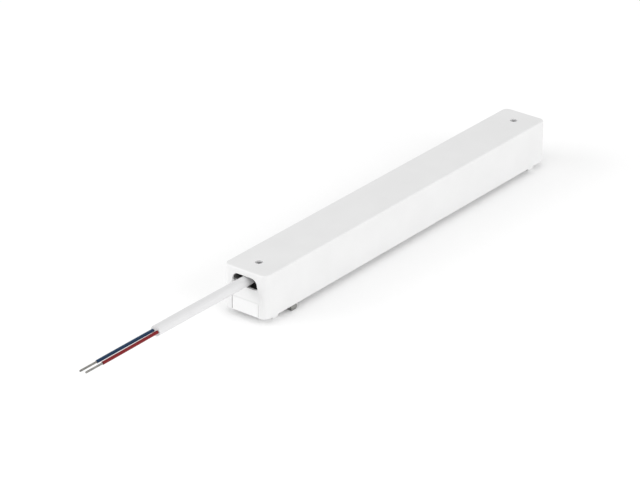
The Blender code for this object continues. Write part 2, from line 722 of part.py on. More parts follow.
def disc_part(name, radius, thickness, finish, x, y, board_frame):
    """A dipped disc that stands on edge across the board, such as a varistor."""
    centre = (0, 0, radius + 1 * MM)
    bm = bmesh.new()
    half = thickness / 2
    add_rod(bm, radius, (0, -half, centre[2]), (0, half, centre[2]), 20)
    rims = [e for e in bm.edges if e.calc_face_angle() > 1]
    bmesh.ops.bevel(bm, geom=rims, offset=0.3 * thickness, segments=2, profile=0.5, affect="EDGES")
    obj = on_board(name, finished(name, bm), finish, x, y, board_frame)
    add_pins(obj, [(-2.5 * MM, 0), (2.5 * MM, 0)], radius)
    return obj


def make_mains_side(row_at, frame):
    """Terminal, fuse, surge and filter parts, rectifier and bulk capacitor."""
    y = row_at["mains_terminal"]
    size = (16 * MM, 10 * MM, 10.5 * MM)
    pitch = 7.5 * MM
    poles = [(-pitch / 2, 0), (pitch / 2, 0)]
    terminal = box_part("mains_terminal", size, GREEN_BLOCK, 0, y, frame, poles)
    add_terminal_openings(terminal, size, poles, 1)
    for (x, _), line in zip(poles, ("live", "neutral")):
        shaft, head, height = TERMINAL_SCREW
        seat = STANDOFF + size[2] - height - GAP
        screw(f"terminal_screw_{line}", TERMINAL_SCREW, 2 * MM, ZINC, (x, y, seat), parent=frame)

    y = row_at["protection"]
    radius = 4.2 * MM
    profile = [(0, 7.7 * MM), (radius - 0.3 * MM, 7.7 * MM), (radius, 7.2 * MM), (radius, 0), (0, 0)]
    fuse = turned("fuse", profile, FUSE_BROWN, (-5.5 * MM, y, STANDOFF), 20, parent=frame)
    add_pins(fuse, [(-2.5 * MM, 0), (2.5 * MM, 0)], 1 * MM)
    disc_part("varistor", 4.8 * MM, 4 * MM, BLUE_DISC, 5.5 * MM, y, frame)

    size = (17.5 * MM, 7.5 * MM, 13 * MM)
    reach = 7.5 * MM
    y = row_at["filter_capacitor"]
    box_part("filter_capacitor", size, YELLOW_BOX, 0, y, frame, [(-reach, 0), (reach, 0)])
    make_filter_choke(row_at["filter_choke"], frame)

    size = (15 * MM, 3.6 * MM, 10.5 * MM)
    pins = [(step * 3.5 * MM, 0) for step in (-1.5, -0.5, 0.5, 1.5)]
    box_part("bridge_rectifier", size, BLACK_RESIN, 0, row_at["rectifier"], frame, pins)
    can_part("bulk_capacitor", 6.5 * MM, TALL_PART, 0, row_at["bulk_capacitor"], frame)


def add_terminal_openings(terminal, size, poles, facing):
    """Cuts a terminal block's wire entries, which face along Y, and its screw wells."""
    x0, y0, z0 = terminal.location
    entries, wells, bores = (bmesh.new() for _ in range(3))
    shaft, head, height = TERMINAL_SCREW
    for x, _ in poles:
        level = z0 + 3.2 * MM
        front = y0 + facing * (size[1] / 2 + OVERLAP)
        back = y0 + facing * size[1] * 0.2
        add_rod(entries, 1.7 * MM, (x0 + x, back, level), (x0 + x, front, level), 12)
        top = z0 + size[2]
        add_rod(wells, head + GAP, (x0 + x, y0, top - height - 2 * GAP), (x0 + x, y0, top + OVERLAP), 12)
        add_rod(bores, shaft + GAP, (x0 + x, y0, top - height - 3 * MM), (x0 + x, y0, top - height), 12)
    cut(terminal, finished(terminal.name + "_entries", entries))
    cut(terminal, finished(terminal.name + "_wells", wells))
    cut(terminal, finished(terminal.name + "_bores", bores))


def ring_mesh(name, inner, outer, width, level, sides=24):
    """A ring that stands on edge, its axis along Y."""
    bm = bmesh.new()
    loops = []
    for radius, y in ((outer, -width / 2), (outer, width / 2), (inner, width / 2), (inner, -width / 2)):
        angles = [2 * math.pi * step / sides for step in range(sides)]
        loops.append([bm.verts.new((radius * math.cos(a), y, level + radius * math.sin(a))) for a in angles])
    for first, second in zip(loops, loops[1:] + loops[:1]):
        for i in range(sides):
            bm.faces.new((first[i - 1], first[i], second[i], second[i - 1]))
    return finished(name, bm)


def make_filter_choke(y, frame):
    """A toroid on edge with a winding round each side of it."""
    coil = 1.1 * MM
    spread = 1.8 * MM
    outer = CHOKE_REACH - GAP - coil
    inner, width = 0.554 * outer, 5.6 * MM
    level = CHOKE_REACH
    core = ring_mesh("filter_choke_core", inner, outer, width, level)
    piece("filter_choke_core", core, FERRITE, (0, y, STANDOFF), parent=frame)
    for side, where in SIDES:
        name = f"filter_choke_winding_{where}"
        sleeve = ring_mesh(name, inner - GAP - coil, CHOKE_REACH, width + 2 * (GAP + coil), level)
        winding = piece(name, sleeve, COPPER, (0, y, STANDOFF), parent=frame)
        void = ring_mesh(name + "_core_space", inner - GAP, outer + GAP, width + 2 * GAP, level)
        cut(winding, moved(void, Matrix.Translation((0, y, STANDOFF))))
        size = (2 * CHOKE_REACH, 4 * width, 4 * CHOKE_REACH)
        middle = (side * (spread - CHOKE_REACH), y, level)
        cut(winding, block(name + "_half", size, middle))
        pin_x = side * CHOKE_REACH * 0.55
        offsets = [(pin_x, -2 * MM), (pin_x, 2 * MM)]
        add_pins(winding, offsets, level - CHOKE_REACH * 0.75)


def make_power_stage(row_at, frame):
    """Switching transistor on its heat spreader, control chip, transformer and isolation parts."""
    y = row_at["power_switch"]
    lift = 2.2 * MM
    tab = (1.3 * MM, 10 * MM, TAB_TOP - lift)
    body = (4.2 * MM, 10 * MM, tab[2] - 5.8 * MM)
    spreader_size = (1.5 * MM, 16 * MM, TAB_TOP - STANDOFF)
    x = 9.8 * MM
    spreader = block("heat_spreader", spreader_size, (0, 0, spreader_size[2] / 2))
    heat_spreader = on_board("heat_spreader", spreader, ALUMINIUM, x, y, frame)
    add_pins(heat_spreader, [(0, -6 * MM), (0, 6 * MM)], 2 * MM)

    tab_x = x - spreader_size[0] / 2 - GAP - tab[0] / 2
    mesh = block("switching_transistor", tab, (0, 0, lift + tab[2] / 2 - STANDOFF))
    switch = on_board("switching_transistor", mesh, BLACK_RESIN, tab_x, y, frame)
    body_x = tab_x + tab[0] / 2 - OVERLAP / 2 - body[0] / 2
    body_place = (body_x, y, lift + body[2] / 2)
    join(switch, block("transistor_body", body, body_place, 0.3 * MM))
    legs = [(body_x - tab_x, step * 2.54 * MM) for step in (-1, 0, 1)]
    add_pins(switch, legs, lift + 1 * MM)
    hole_level = lift + body[2] + 3 * MM
    shaft, head, height = TAB_SCREW
    seat = tab_x - tab[0] / 2 - GAP
    reach = GAP + tab[0] + GAP + spreader_size[0]
    hole = (seat - OVERLAP, y, hole_level), (x + spreader_size[0], y, hole_level)
    cut(heat_spreader, rod("spreader_hole", shaft + GAP, *hole, 12))
    cut(switch, rod("tab_hole", shaft + GAP, *hole, 12))
    turn = (0, -math.pi / 2, 0)
    screw("transistor_screw", TAB_SCREW, reach, ZINC, (seat, y, hole_level), turn, frame)

    pins = [(side * 3 * MM, step * 2.54 * MM) for side in (-1, 1) for step in (-1.5, -0.5, 0.5, 1.5)]
    size = (7.2 * MM, 9.4 * MM, 3.4 * MM)
    box_part("control_chip", size, BLACK_RESIN, -6.5 * MM, y, frame, pins, 0.3 * MM)
    make_transformer(row_at["transformer"], frame)

    y = row_at["isolation"]
    pins = [(side * 3.2 * MM, step * 1.27 * MM) for side in (-1, 1) for step in (-1, 1)]
    size = (7.4 * MM, 4.6 * MM, 3.5 * MM)
    box_part("optocoupler", size, WHITE_PLASTIC, 6.3 * MM, y, frame, pins, 0.3 * MM)
    disc_part("safety_capacitor", 4 * MM, 3.6 * MM, BLUE_DISC, -5.5 * MM, y, frame)


def make_transformer(y, frame):
    """A ferrite frame round a wound bobbin whose pins carry it."""
    across, along, leg = 18 * MM, 18 * MM, 5 * MM
    window = (4.2 * MM, 13 * MM)
    level = BOBBIN_AXIS
    core_mesh = block("transformer_core", (across, along, CORE_THICKNESS), (0, 0, level))
    core = piece("transformer_core", core_mesh, FERRITE, (0, y, STANDOFF), parent=frame)
    bm = bmesh.new()
    for side, _ in SIDES:
        x = side * (leg + window[0]) / 2
        add_block(bm, (window[0], window[1], 2 * CORE_THICKNESS), (x, y, STANDOFF + level))
    cut(core, finished("transformer_windows", bm))

    # The bobbin: a tube round the middle leg, with a flange and a pin rail at each end
    tube_wall = 0.7 * MM
    opening = (leg + 2 * GAP, CORE_THICKNESS + 2 * GAP)
    tube = (opening[0] + 2 * tube_wall, opening[1] + 2 * tube_wall)
    flange = (leg + 2 * window[0] - 2 * GAP, 1 * MM, BOBBIN_HEIGHT)
    reach = window[1] / 2 - GAP
    mesh = block("transformer_bobbin", (tube[0], 2 * reach, tube[1]), (0, 0, level))
    bobbin = piece("transformer_bobbin", mesh, BLACK_RESIN, (0, y, STANDOFF), parent=frame)
    flanges, rails = bmesh.new(), bmesh.new()
    rail_height = level - CORE_THICKNESS / 2 - GAP
    for end, _ in ENDS:
        flange_y = y + end * (reach - flange[1] / 2)
        add_block(flanges, flange, (0, flange_y, STANDOFF + level))
        rail_depth = along / 2 - reach + flange[1]
        rail_y = y + end * (along / 2 - rail_depth / 2)
        size = (across - 1 * MM, rail_depth, rail_height)
        add_block(rails, size, (0, rail_y, STANDOFF + rail_height / 2))
    join(bobbin, finished("bobbin_flanges", flanges))
    join(bobbin, finished("bobbin_rails", rails))
    hole = block("bobbin_hole", (opening[0], 2 * along, opening[1]), (0, y, STANDOFF + level))
    cut(bobbin, hole)
    offsets = []
    for end, _ in ENDS:
        offsets += [(step * 3.8 * MM, end * (along / 2 - 1.5 * MM)) for step in (-1.5, -0.5, 0.5, 1.5)]
    add_pins(bobbin, offsets, rail_height / 2)

    winding_size = (flange[0] - 0.4 * MM, 2 * (reach - flange[1] - GAP), flange[2] - 0.6 * MM)
    mesh = block("transformer_winding", winding_size, (0, 0, level), 1.2 * MM)
    winding = piece("transformer_winding", mesh, YELLOW_TAPE, (0, y, STANDOFF), parent=frame)
    space = (tube[0] + 2 * GAP, 2 * along, tube[1] + 2 * GAP)
    cut(winding, block("winding_space", space, (0, y, STANDOFF + level)))


def make_output_side(row_at, frame):
    """Output diode, two capacitors, drum choke and the terminal for the lead."""
    y = row_at["output_diode"]
    radius, length = 2.6 * MM, 9 * MM
    level = radius
    body = [(0, length / 2), (radius - 0.3 * MM, length / 2), (radius, length / 2 - 0.3 * MM)]
    body += [(r, -z) for r, z in reversed(body)]
    turn = (0, math.pi / 2, 0)
    diode = turned("output_diode", body, BLACK_RESIN, (0, y, STANDOFF + level), 16, turn, frame)
    bend = 7.5 * MM
    bm = bmesh.new()
    lead_level = STANDOFF + level
    add_rod(bm, PIN_RADIUS, (-bend - PIN_RADIUS, y, lead_level), (bend + PIN_RADIUS, y, lead_level), 8)
    join(diode, finished("diode_leads", bm))
    add_pins(diode, [(-bend, 0), (bend, 0)], level)

    for number in (1, 2):
        name = f"output_capacitor_{number}"
        can_part(name, 5 * MM, TALL_PART, 0, row_at[name], frame)

    y = row_at["output_choke"]
    flange, post, height, rim = 6 * MM, 3 * MM, 11 * MM, 1.5 * MM
    profile = [(0, height), (flange, height), (flange, height - rim), (post, height - rim)]
    profile += [(post, rim), (flange, rim), (flange, 0), (0, 0)]
    core = turned("output_choke_core", profile, FERRITE, (0, y, STANDOFF), 20, parent=frame)
    add_pins(core, [(-3 * MM, 0), (3 * MM, 0)], rim / 2)
    coil = flange - 0.6 * MM
    low, high = rim + GAP, height - rim - GAP
    profile = [(post + GAP, high), (coil, high), (coil, low), (post + GAP, low), (post + GAP, high)]
    turned("output_choke_winding", profile, COPPER, (0, y, STANDOFF), 20, parent=frame)

    y = row_at["output_terminal"]
    size = (11 * MM, 9 * MM, 8.5 * MM)
    poles = [(-CORE_SPACING / 2 - 0.9 * MM, 0), (CORE_SPACING / 2 + 0.9 * MM, 0)]
    terminal = box_part("output_terminal", size, WHITE_PLASTIC, 0, y, frame, poles)
    entries = bmesh.new()
    level = STANDOFF + OUTPUT_ENTRY_LEVEL
    for x, _ in poles:
        front = y - size[1] / 2 - OVERLAP
        add_rod(entries, CORE_RADIUS + GAP, (x, y, level), (x, front, level), 12)
    cut(terminal, finished("output_entries", entries))
    return poles, y - size[1] / 2


def make_board(row_at, frame):
    """The board itself, drilled for every pin and for its two screws."""
    outline = rounded_outline(BOARD_WIDTH, BOARD_LENGTH, BOARD_CORNER, 3)
    board = piece("circuit_board", plate("circuit_board", outline, -BOARD_THICKNESS, 0), BOARD_GREEN, parent=frame)
    bm = bmesh.new()
    for x, y in pin_places:
        add_rod(bm, PIN_RADIUS + GAP, (x, y, -2 * BOARD_THICKNESS), (x, y, BOARD_THICKNESS), 6)
    shaft = BOARD_SCREW[0] + GAP
    for _, label in ENDS:
        y = row_at[f"{label}_screw"]
        add_rod(bm, shaft, (0, y, -2 * BOARD_THICKNESS), (0, y, BOARD_THICKNESS), 12)
        reach = GAP + BOARD_THICKNESS + GAP + BOARD_SCREW_BITE
        screw(f"board_screw_{label}", BOARD_SCREW, reach, ZINC, (0, y, GAP), parent=frame)
    cut(board, finished("board_holes", bm))
    return board


# Lead. Its points are chosen by hand, in metres from the middle of the lead-end mouth

SHEATH_ROUTE = [
    (0, 0.0205, 0),
    (0, 0.0150, 0),
    (0, 0.0100, 0),
    (0, 0.0050, 0),
    (0, 0, 0),
    (0, -0.0060, 0.00005),
    (0, -0.0120, 0.00011),
    (0, -0.0185, 0.00018),
    (0, -0.0250, 0.00024),
    (0, -0.0320, 0.00029),
    (0, -0.0400, 0.00033),
    (0, -0.0480, 0.00036),
    (0, -0.0565, 0.00038),
    (0, -0.0650, 0.00039),
    (0, -0.0740, 0.00039),
]
BLUE_ROUTE = [
    (-0.00160, -0.0743, 0.00039),
    (-0.00160, -0.0775, 0.00039),
    (-0.00162, -0.0807, 0.00038),
    (-0.00164, -0.0839, 0.00037),
    (-0.00166, -0.0871, 0.00036),
    (-0.00168, -0.0903, 0.00035),
    (-0.00170, -0.0935, 0.00034),
    (-0.00171, -0.0967, 0.00033),
    (-0.00172, -0.0999, 0.00032),
    (-0.00173, -0.1031, 0.00031),
    (-0.00174, -0.1063, 0.00030),
    (-0.00174, -0.1095, 0.00029),
    (-0.00174, -0.1127, 0.00028),
    (-0.00174, -0.1156, 0.00027),
    (-0.00174, -0.1185, 0.00026),
]
RED_ROUTE = [
    (0.00160, -0.0743, 0.00039),
    (0.00160, -0.0775, 0.00039),
    (0.00162, -0.0807, 0.00038),
    (0.00164, -0.0839, 0.00037),
    (0.00166, -0.0871, 0.00036),
    (0.00168, -0.0903, 0.00035),
    (0.00170, -0.0935, 0.00034),
    (0.00171, -0.0967, 0.00033),
    (0.00172, -0.0999, 0.00032),
    (0.00173, -0.1031, 0.00031),
    (0.00174, -0.1063, 0.00031),
    (0.00174, -0.1095, 0.00030),
    (0.00174, -0.1127, 0.00029),
    (0.00174, -0.1152, 0.00029),
    (0.00174, -0.1178, 0.00028),
]
TINNED_LENGTH = 12.9 * MM


def make_lead(poles, terminal_face):
    """The sheath, its two cores, their tinned ends, and the cores' inner ends in the terminal."""
    mouth = Vector((0, -LENGTH / 2, LEAD_LEVEL))
    wire("lead_sheath", SHEATH_ROUTE, LEAD_RADIUS, WHITE_SHEATH, 12 * MM, mouth, 4)
    entry_level = BOARD_TOP + STANDOFF + OUTPUT_ENTRY_LEVEL
    start = mouth + Vector(SHEATH_ROUTE[0])
    cores = (("blue", BLUE_ROUTE, BLUE_SHEATH, poles[0][0]), ("red", RED_ROUTE, RED_SHEATH, poles[1][0]))
    for colour, route, finish, pole in cores:
        wire(f"core_{colour}", route, CORE_RADIUS, finish, 4 * MM, mouth)
        end = Vector(route[-1])
        bare = [end + Vector((0, -GAP - share * TINNED_LENGTH, 0)) for share in (0, 0.25, 0.5, 0.75, 1)]
        wire(f"tinned_end_{colour}", bare, TINNED_RADIUS, TINNED, 3 * MM, mouth)
        x = math.copysign(CORE_SPACING / 2, pole)
        inside = [
            (x, start.y + GAP, start.z),
            (x, start.y + 1.5 * MM, start.z),
            (x * 0.7 + pole * 0.3, start.y * 0.6 + terminal_face * 0.4, start.z * 0.8 + entry_level * 0.2),
            (x * 0.2 + pole * 0.8, start.y * 0.3 + terminal_face * 0.7, start.z * 0.25 + entry_level * 0.75),
            (pole, terminal_face - 1.5 * MM, entry_level),
            (pole, terminal_face + 3 * MM, entry_level),
        ]
        wire(f"core_{colour}_inner_end", inside, CORE_RADIUS, finish, 1.5 * MM)


def keep_flats_flat():
    """Lets the large flat faces set the shading wherever a cut has left a smooth edge beside them."""
    for obj in PARTS.objects:
        if obj.type == "MESH" and obj.modifiers:
            normals = obj.modifiers.new("normals", "WEIGHTED_NORMAL")
            normals.weight = 100
            normals.keep_sharp = True


def clear_scene():
    for obj in list(bpy.data.objects):
        bpy.data.objects.remove(obj)


def main():
    clear_scene()
    for collection in (PARTS, TOOLS):
        bpy.context.scene.collection.children.link(collection)
    row_at = rows_along_board()
    frame = bpy.data.objects.new("board_frame", None)
    frame.location = (0, 0, BOARD_TOP)
    PARTS.objects.link(frame)
    make_cover()
    make_tray(row_at)
    make_clip()
    for end, label in ENDS:
        make_clamp(end, label)
    make_mains_side(row_at, frame)
    make_power_stage(row_at, frame)
    poles, terminal_face = make_output_side(row_at, frame)
    make_board(row_at, frame)
    make_lead(poles, terminal_face)
    keep_flats_flat()
    bpy.context.view_layer.update()


main()
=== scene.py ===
"""The LED driver's visible pieces, their finishes and the studio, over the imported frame."""

import json
import math

import bmesh
import bpy
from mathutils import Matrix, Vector

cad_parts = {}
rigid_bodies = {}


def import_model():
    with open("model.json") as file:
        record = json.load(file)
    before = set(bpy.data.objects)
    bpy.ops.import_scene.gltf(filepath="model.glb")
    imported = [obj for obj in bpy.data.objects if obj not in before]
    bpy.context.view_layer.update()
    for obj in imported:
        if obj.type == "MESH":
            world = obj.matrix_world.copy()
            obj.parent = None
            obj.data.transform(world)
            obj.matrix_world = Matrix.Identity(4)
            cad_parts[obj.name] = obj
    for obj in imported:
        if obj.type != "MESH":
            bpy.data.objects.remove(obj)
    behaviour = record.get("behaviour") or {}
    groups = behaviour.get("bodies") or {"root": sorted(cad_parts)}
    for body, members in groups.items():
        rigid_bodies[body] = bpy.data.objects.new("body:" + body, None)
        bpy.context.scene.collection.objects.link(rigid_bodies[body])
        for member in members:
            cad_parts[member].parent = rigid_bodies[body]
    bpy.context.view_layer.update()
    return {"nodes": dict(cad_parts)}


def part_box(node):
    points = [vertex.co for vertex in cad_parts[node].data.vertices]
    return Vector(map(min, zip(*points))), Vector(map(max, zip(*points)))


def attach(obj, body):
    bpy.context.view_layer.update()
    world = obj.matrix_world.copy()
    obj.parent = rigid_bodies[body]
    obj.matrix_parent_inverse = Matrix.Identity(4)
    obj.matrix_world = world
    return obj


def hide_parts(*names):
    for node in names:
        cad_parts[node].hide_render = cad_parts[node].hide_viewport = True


bl_info = {
    "name": "LED driver",
    "version": (1, 0, 0),
    "blender": (4, 5, 0),
    "location": "3D View > Sidebar > LED driver",
    "description": "Models the LED driver's cover, tray, clip, screws and lead, with finishes and a studio",
    "category": "Object",
}

MM = 0.001
for leftover in list(bpy.data.objects):
    bpy.data.objects.remove(leftover)
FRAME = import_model()
NODES = FRAME["nodes"]
bpy.ops.object.select_all(action="DESELECT")

COVER_LOW, COVER_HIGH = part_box("cover")
CLIP_LOW, CLIP_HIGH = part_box("retaining_clip")
HEAD_LOW, HEAD_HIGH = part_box("cover_screw_lead")
CLAMP_LOW, CLAMP_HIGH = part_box("lead_clamp")

ENDS = ((-1, "lead"), (1, "mains"))
OVERLAP = 0.5 * MM
TOUCH = 0.01 * MM
PLAY = 0.3 * MM

# Inner forms of the cover

REBATE_WALL = 1 * MM
REBATE_HEIGHT = 2.1 * MM
RIBS = 5
RIB_SPAN = 212 * MM
RIB_DEPTH = 1.1 * MM
RIB_WIDTH = 1.2 * MM
RIB_SINK = 0.05 * MM
RIB_LOW = 7.9 * MM
POCKET_BELOW = 1.4 * MM
POCKET_ABOVE = 0.8 * MM
POCKET_SIDE = 0.5 * MM
SEAT_LEVEL = 28.15 * MM
SHAFT_HOLE_RADIUS = 1.4 * MM
SHAFT_HOLE_LOW = 27 * MM

# How finely the curved forms are divided

CORNER_SEGMENTS = 12
FILLET_SEGMENTS = 6
BEND_SEGMENTS = 10
RIM_SEGMENTS = 6
DOME_SEGMENTS = 8
MOUTH_SIDES = 96
DISH_RINGS = 16
HOLE_SIDES = 64
ROD_SIDES = 48
STRAND_RINGS = 60
EASED_EDGES = {"segments": 2, "limit_method": "ANGLE", "angle_limit": math.radians(50)}

# Lead. Its points repeat the part's route, in metres from the middle of the lead-end mouth

MOUTH = Vector((0, COVER_LOW.y, 0.0228))
SHEATH_ROUTE = [
    (0, 0.0205, 0),
    (0, 0.0150, 0),
    (0, 0.0100, 0),
    (0, 0.0050, 0),
    (0, 0, 0),
    (0, -0.0060, 0.00005),
    (0, -0.0120, 0.00011),
    (0, -0.0185, 0.00018),
    (0, -0.0250, 0.00024),
    (0, -0.0320, 0.00029),
    (0, -0.0400, 0.00033),
    (0, -0.0480, 0.00036),
    (0, -0.0565, 0.00038),
    (0, -0.0650, 0.00039),
    (0, -0.0740, 0.00039),
]
BLUE_ROUTE = [
    (-0.00160, -0.0743, 0.00039),
    (-0.00160, -0.0775, 0.00039),
    (-0.00162, -0.0807, 0.00038),
    (-0.00164, -0.0839, 0.00037),
    (-0.00166, -0.0871, 0.00036),
    (-0.00168, -0.0903, 0.00035),
    (-0.00170, -0.0935, 0.00034),
    (-0.00171, -0.0967, 0.00033),
    (-0.00172, -0.0999, 0.00032),
    (-0.00173, -0.1031, 0.00031),
    (-0.00174, -0.1063, 0.00030),
    (-0.00174, -0.1095, 0.00029),
    (-0.00174, -0.1127, 0.00028),
    (-0.00174, -0.1156, 0.00027),
    (-0.00174, -0.1185, 0.00026),
]
RED_ROUTE = [
    (0.00160, -0.0743, 0.00039),
    (0.00160, -0.0775, 0.00039),
    (0.00162, -0.0807, 0.00038),
    (0.00164, -0.0839, 0.00037),
    (0.00166, -0.0871, 0.00036),
    (0.00168, -0.0903, 0.00035),
    (0.00170, -0.0935, 0.00034),
    (0.00171, -0.0967, 0.00033),
    (0.00172, -0.0999, 0.00032),
    (0.00173, -0.1031, 0.00031),
    (0.00174, -0.1063, 0.00031),
    (0.00174, -0.1095, 0.00030),
    (0.00174, -0.1127, 0.00029),
    (0.00174, -0.1152, 0.00029),
    (0.00174, -0.1178, 0.00028),
]


# Settings


def size(name, description, default):
    return bpy.props.FloatProperty(
        name=name, description=description, default=default, min=0, unit="LENGTH"
    )


def colour(name, description, default):
    return bpy.props.FloatVectorProperty(
        name=name, description=description, default=default, size=3, min=0, max=1, subtype="COLOR"
    )


def power(name, default):
    return bpy.props.FloatProperty(
        name=name, description="Power of this soft box", default=default, unit="POWER"
    )


def angle(name, description, default):
    return bpy.props.FloatProperty(
        name=name, description=description, default=math.radians(default), subtype="ANGLE"
    )


class CoverSettings(bpy.types.PropertyGroup):
    """Sizes of the moulded cover."""

    wall: size("Wall", "Thickness of the cover's walls", 1.8 * MM)
    plan_radius: size("Corner radius", "Radius of the four upright corners", 4 * MM)
    top_fillet: size("Top rounding", "Radius between the top and the sides", 1 * MM)
    mouth_width: size("Mouth width", "Width of a cable mouth", 17.5 * MM)
    mouth_height: size("Mouth height", "Height of a cable mouth", 8.1 * MM)
    mouth_drop: size("Mouth drop", "Middle of a mouth below the top", 7.55 * MM)
    mouth_shift: size("Mouth shift", "How far a mouth lies to the right, seen from its end", 0.3 * MM)
    lip: size("Lip", "Thickness of the wall around a mouth's upper half", 1.4 * MM)
    dish_depth: size("Dish depth", "Depth of the dish below a mouth", 2.2 * MM)
    dish_flare: size("Dish flare", "How far the dish spreads at each side", 4.6 * MM)
    dish_spread: size("Dish spread", "Height over which the dish comes to its full spread", 7 * MM)
    dish_corner: size("Dish corner", "Rounding of the dish's lower corners", 1.5 * MM)
    notch_width: size("Notch width", "Width of the notch for the tray's end panel", 19.0 * MM)
    notch_height: size("Notch height", "Height of the notch for the tray's end panel", 8.6 * MM)
    notch_shift: size("Notch shift", "How far a notch lies to the right, seen from its end", 0.45 * MM)


class TraySettings(bpy.types.PropertyGroup):
    """How the base tray differs from its plain solid."""

    set_back: size("Panel set back", "How far the end panels lie inside the cover's end faces", 0.25 * MM)
    shift: size("Panel shift", "How far an end panel lies to the right, seen from its end", 0.45 * MM)
    edge: size("Eased edge", "Width of the eased edges", 0.12 * MM)


class ClipSettings(bpy.types.PropertyGroup):
    """Sizes of the bent steel clip."""

    thickness: size("Thickness", "Thickness of the strip", 1 * MM)
    bend: size("Bend", "Inner radius of the bends", 0.3 * MM)
    corner: size("Far corner", "Radius of each lug's corner away from the lead", 1.6 * MM)
    near_corner: size("Near corner", "Radius of each lug's corner towards the lead", 0.5 * MM)
    relief: size("Relief", "How much narrower than the strip each lug is, towards the lead", 1.3 * MM)
    hole: size("Hole", "Diameter of the holes for the tray's posts", 3 * MM)
    spacing: size("Hole spacing", "Distance between the holes", 12 * MM)
    edge: size("Deburred edge", "Width of the broken edges", 0.1 * MM)


class ScrewSettings(bpy.types.PropertyGroup):
    """Sizes of a cover screw."""

    head_height: size("Head height", "Height of the pan head", 0.8 * MM)
    shaft: size("Shaft", "Diameter of the shaft", 2.2 * MM)
    pitch: size("Thread pitch", "Distance between the thread's turns", 0.5 * MM)
    recess_width: size("Recess width", "Width of the cross recess", 0.5 * MM)
    recess_span: size("Recess span", "Length of the cross recess", 2.2 * MM)
    recess_depth: size("Recess depth", "Depth of the cross recess", 0.5 * MM)


class LeadSettings(bpy.types.PropertyGroup):
    """Sizes of the output lead."""

    sheath: size("Sheath diameter", "Diameter of the white sheath", 6.3 * MM)
    core: size("Core diameter", "Diameter of each coloured core", 1.9 * MM)
    tinned: size("Tinned diameter", "Diameter of each bare tinned end", 1.2 * MM)
    lay: size("Strand lay", "Length of one turn of the strands", 9 * MM)


class FinishSettings(bpy.types.PropertyGroup):
    """Colours of the pieces that show."""

    cover: colour("Cover", "White of the cover", (0.73, 0.73, 0.73))
    tray: colour("Tray", "White of the base tray, a shade lighter", (0.79, 0.79, 0.79))
    sheath: colour("Sheath", "White of the cable sheath", (0.67, 0.67, 0.675))
    blue: colour("Blue core", "Blue insulation", (0.007, 0.034, 0.085))
    red: colour("Red core", "Red insulation", (0.18, 0.007, 0.010))


class StudioSettings(bpy.types.PropertyGroup):
    """Floor, light and camera."""

    floor: bpy.props.FloatProperty(
        name="Floor", description="Reflectance of the floor", default=0.98, subtype="FACTOR"
    )
    sky: bpy.props.FloatProperty(name="Sky", description="Strength of the even light", default=0.846)
    front: power("Front box", 4.4)
    right: power("Right box", 17.0)
    left: power("Left box", 17.2)
    azimuth: angle("Azimuth", "Camera direction about Z", 38.28)
    elevation: angle("Elevation", "Camera height angle", 26.445)
    distance: size("Distance", "Camera to its target", 1.8076)
    focal: bpy.props.FloatProperty(name="Focal length", description="Lens on a 36 mm sensor", default=170.2)
    target: bpy.props.FloatVectorProperty(
        name="Target",
        description="Point that the camera looks at",
        default=(-0.05349, 0.00003, -0.02620),
        subtype="XYZ",
    )


def settings():
    return bpy.context.scene.led_driver


class DriverSettings(bpy.types.PropertyGroup):
    """All settings of the LED driver."""

    cover: bpy.props.PointerProperty(type=CoverSettings)
    tray: bpy.props.PointerProperty(type=TraySettings)
    clip: bpy.props.PointerProperty(type=ClipSettings)
    screw: bpy.props.PointerProperty(type=ScrewSettings)
    lead: bpy.props.PointerProperty(type=LeadSettings)
    finish: bpy.props.PointerProperty(type=FinishSettings)
    studio: bpy.props.PointerProperty(type=StudioSettings)


# Modelling


def only(obj):
    """Selects one object and makes it active."""
    bpy.ops.object.select_all(action="DESELECT")
    obj.select_set(True)
    bpy.context.view_layer.objects.active = obj


def named(name):
    obj = bpy.context.active_object
    obj.name = obj.data.name = name
    return obj


def settle(obj):
    """Puts the object at the origin, with its place in its mesh."""
    only(obj)
    bpy.ops.object.transform_apply(location=True, rotation=True, scale=True)
    return obj


def pick(obj, mode, test):
    """Selects the vertices, edges or faces that pass a test, in edit mode."""
    bpy.context.tool_settings.mesh_select_mode = [mode == kind for kind in ("VERT", "EDGE", "FACE")]
    shape = bmesh.from_edit_mesh(obj.data)
    for group in (shape.verts, shape.edges, shape.faces):
        for part in group:
            part.select = False
    for part in {"VERT": shape.verts, "EDGE": shape.edges, "FACE": shape.faces}[mode]:
        if test(part):
            part.select_set(True)
    shape.select_flush_mode()
    bmesh.update_edit_mesh(obj.data)


def upright(edge):
    a, b = edge.verts
    return abs(a.co.z - b.co.z) > 10 * max(abs(a.co.x - b.co.x), abs(a.co.y - b.co.y))


def block(name, sizes, centre, corner=0.0, segments=8):
    """A box, its upright corners rounded where a radius is given."""
    bpy.ops.mesh.primitive_cube_add(size=1, location=centre, scale=sizes)
    obj = settle(named(name))
    if corner:
        bpy.ops.object.mode_set(mode="EDIT")
        pick(obj, "EDGE", upright)
        bpy.ops.mesh.bevel(offset=corner, segments=segments, affect="EDGES")
        bpy.ops.object.mode_set(mode="OBJECT")
    return obj


def rod(name, radius, low, high, x=0.0, y=0.0, sides=ROD_SIDES):
    """An upright rod."""
    bpy.ops.mesh.primitive_cylinder_add(
        vertices=sides, radius=radius, depth=high - low, location=(x, y, (low + high) / 2)
    )
    return settle(named(name))


def circle(x, y, z, radius, sides):
    """One level ring of points for a loft."""
    turns = [2 * math.pi * step / sides for step in range(sides)]
    return [Vector((x + radius * math.cos(t), y + radius * math.sin(t), z)) for t in turns]


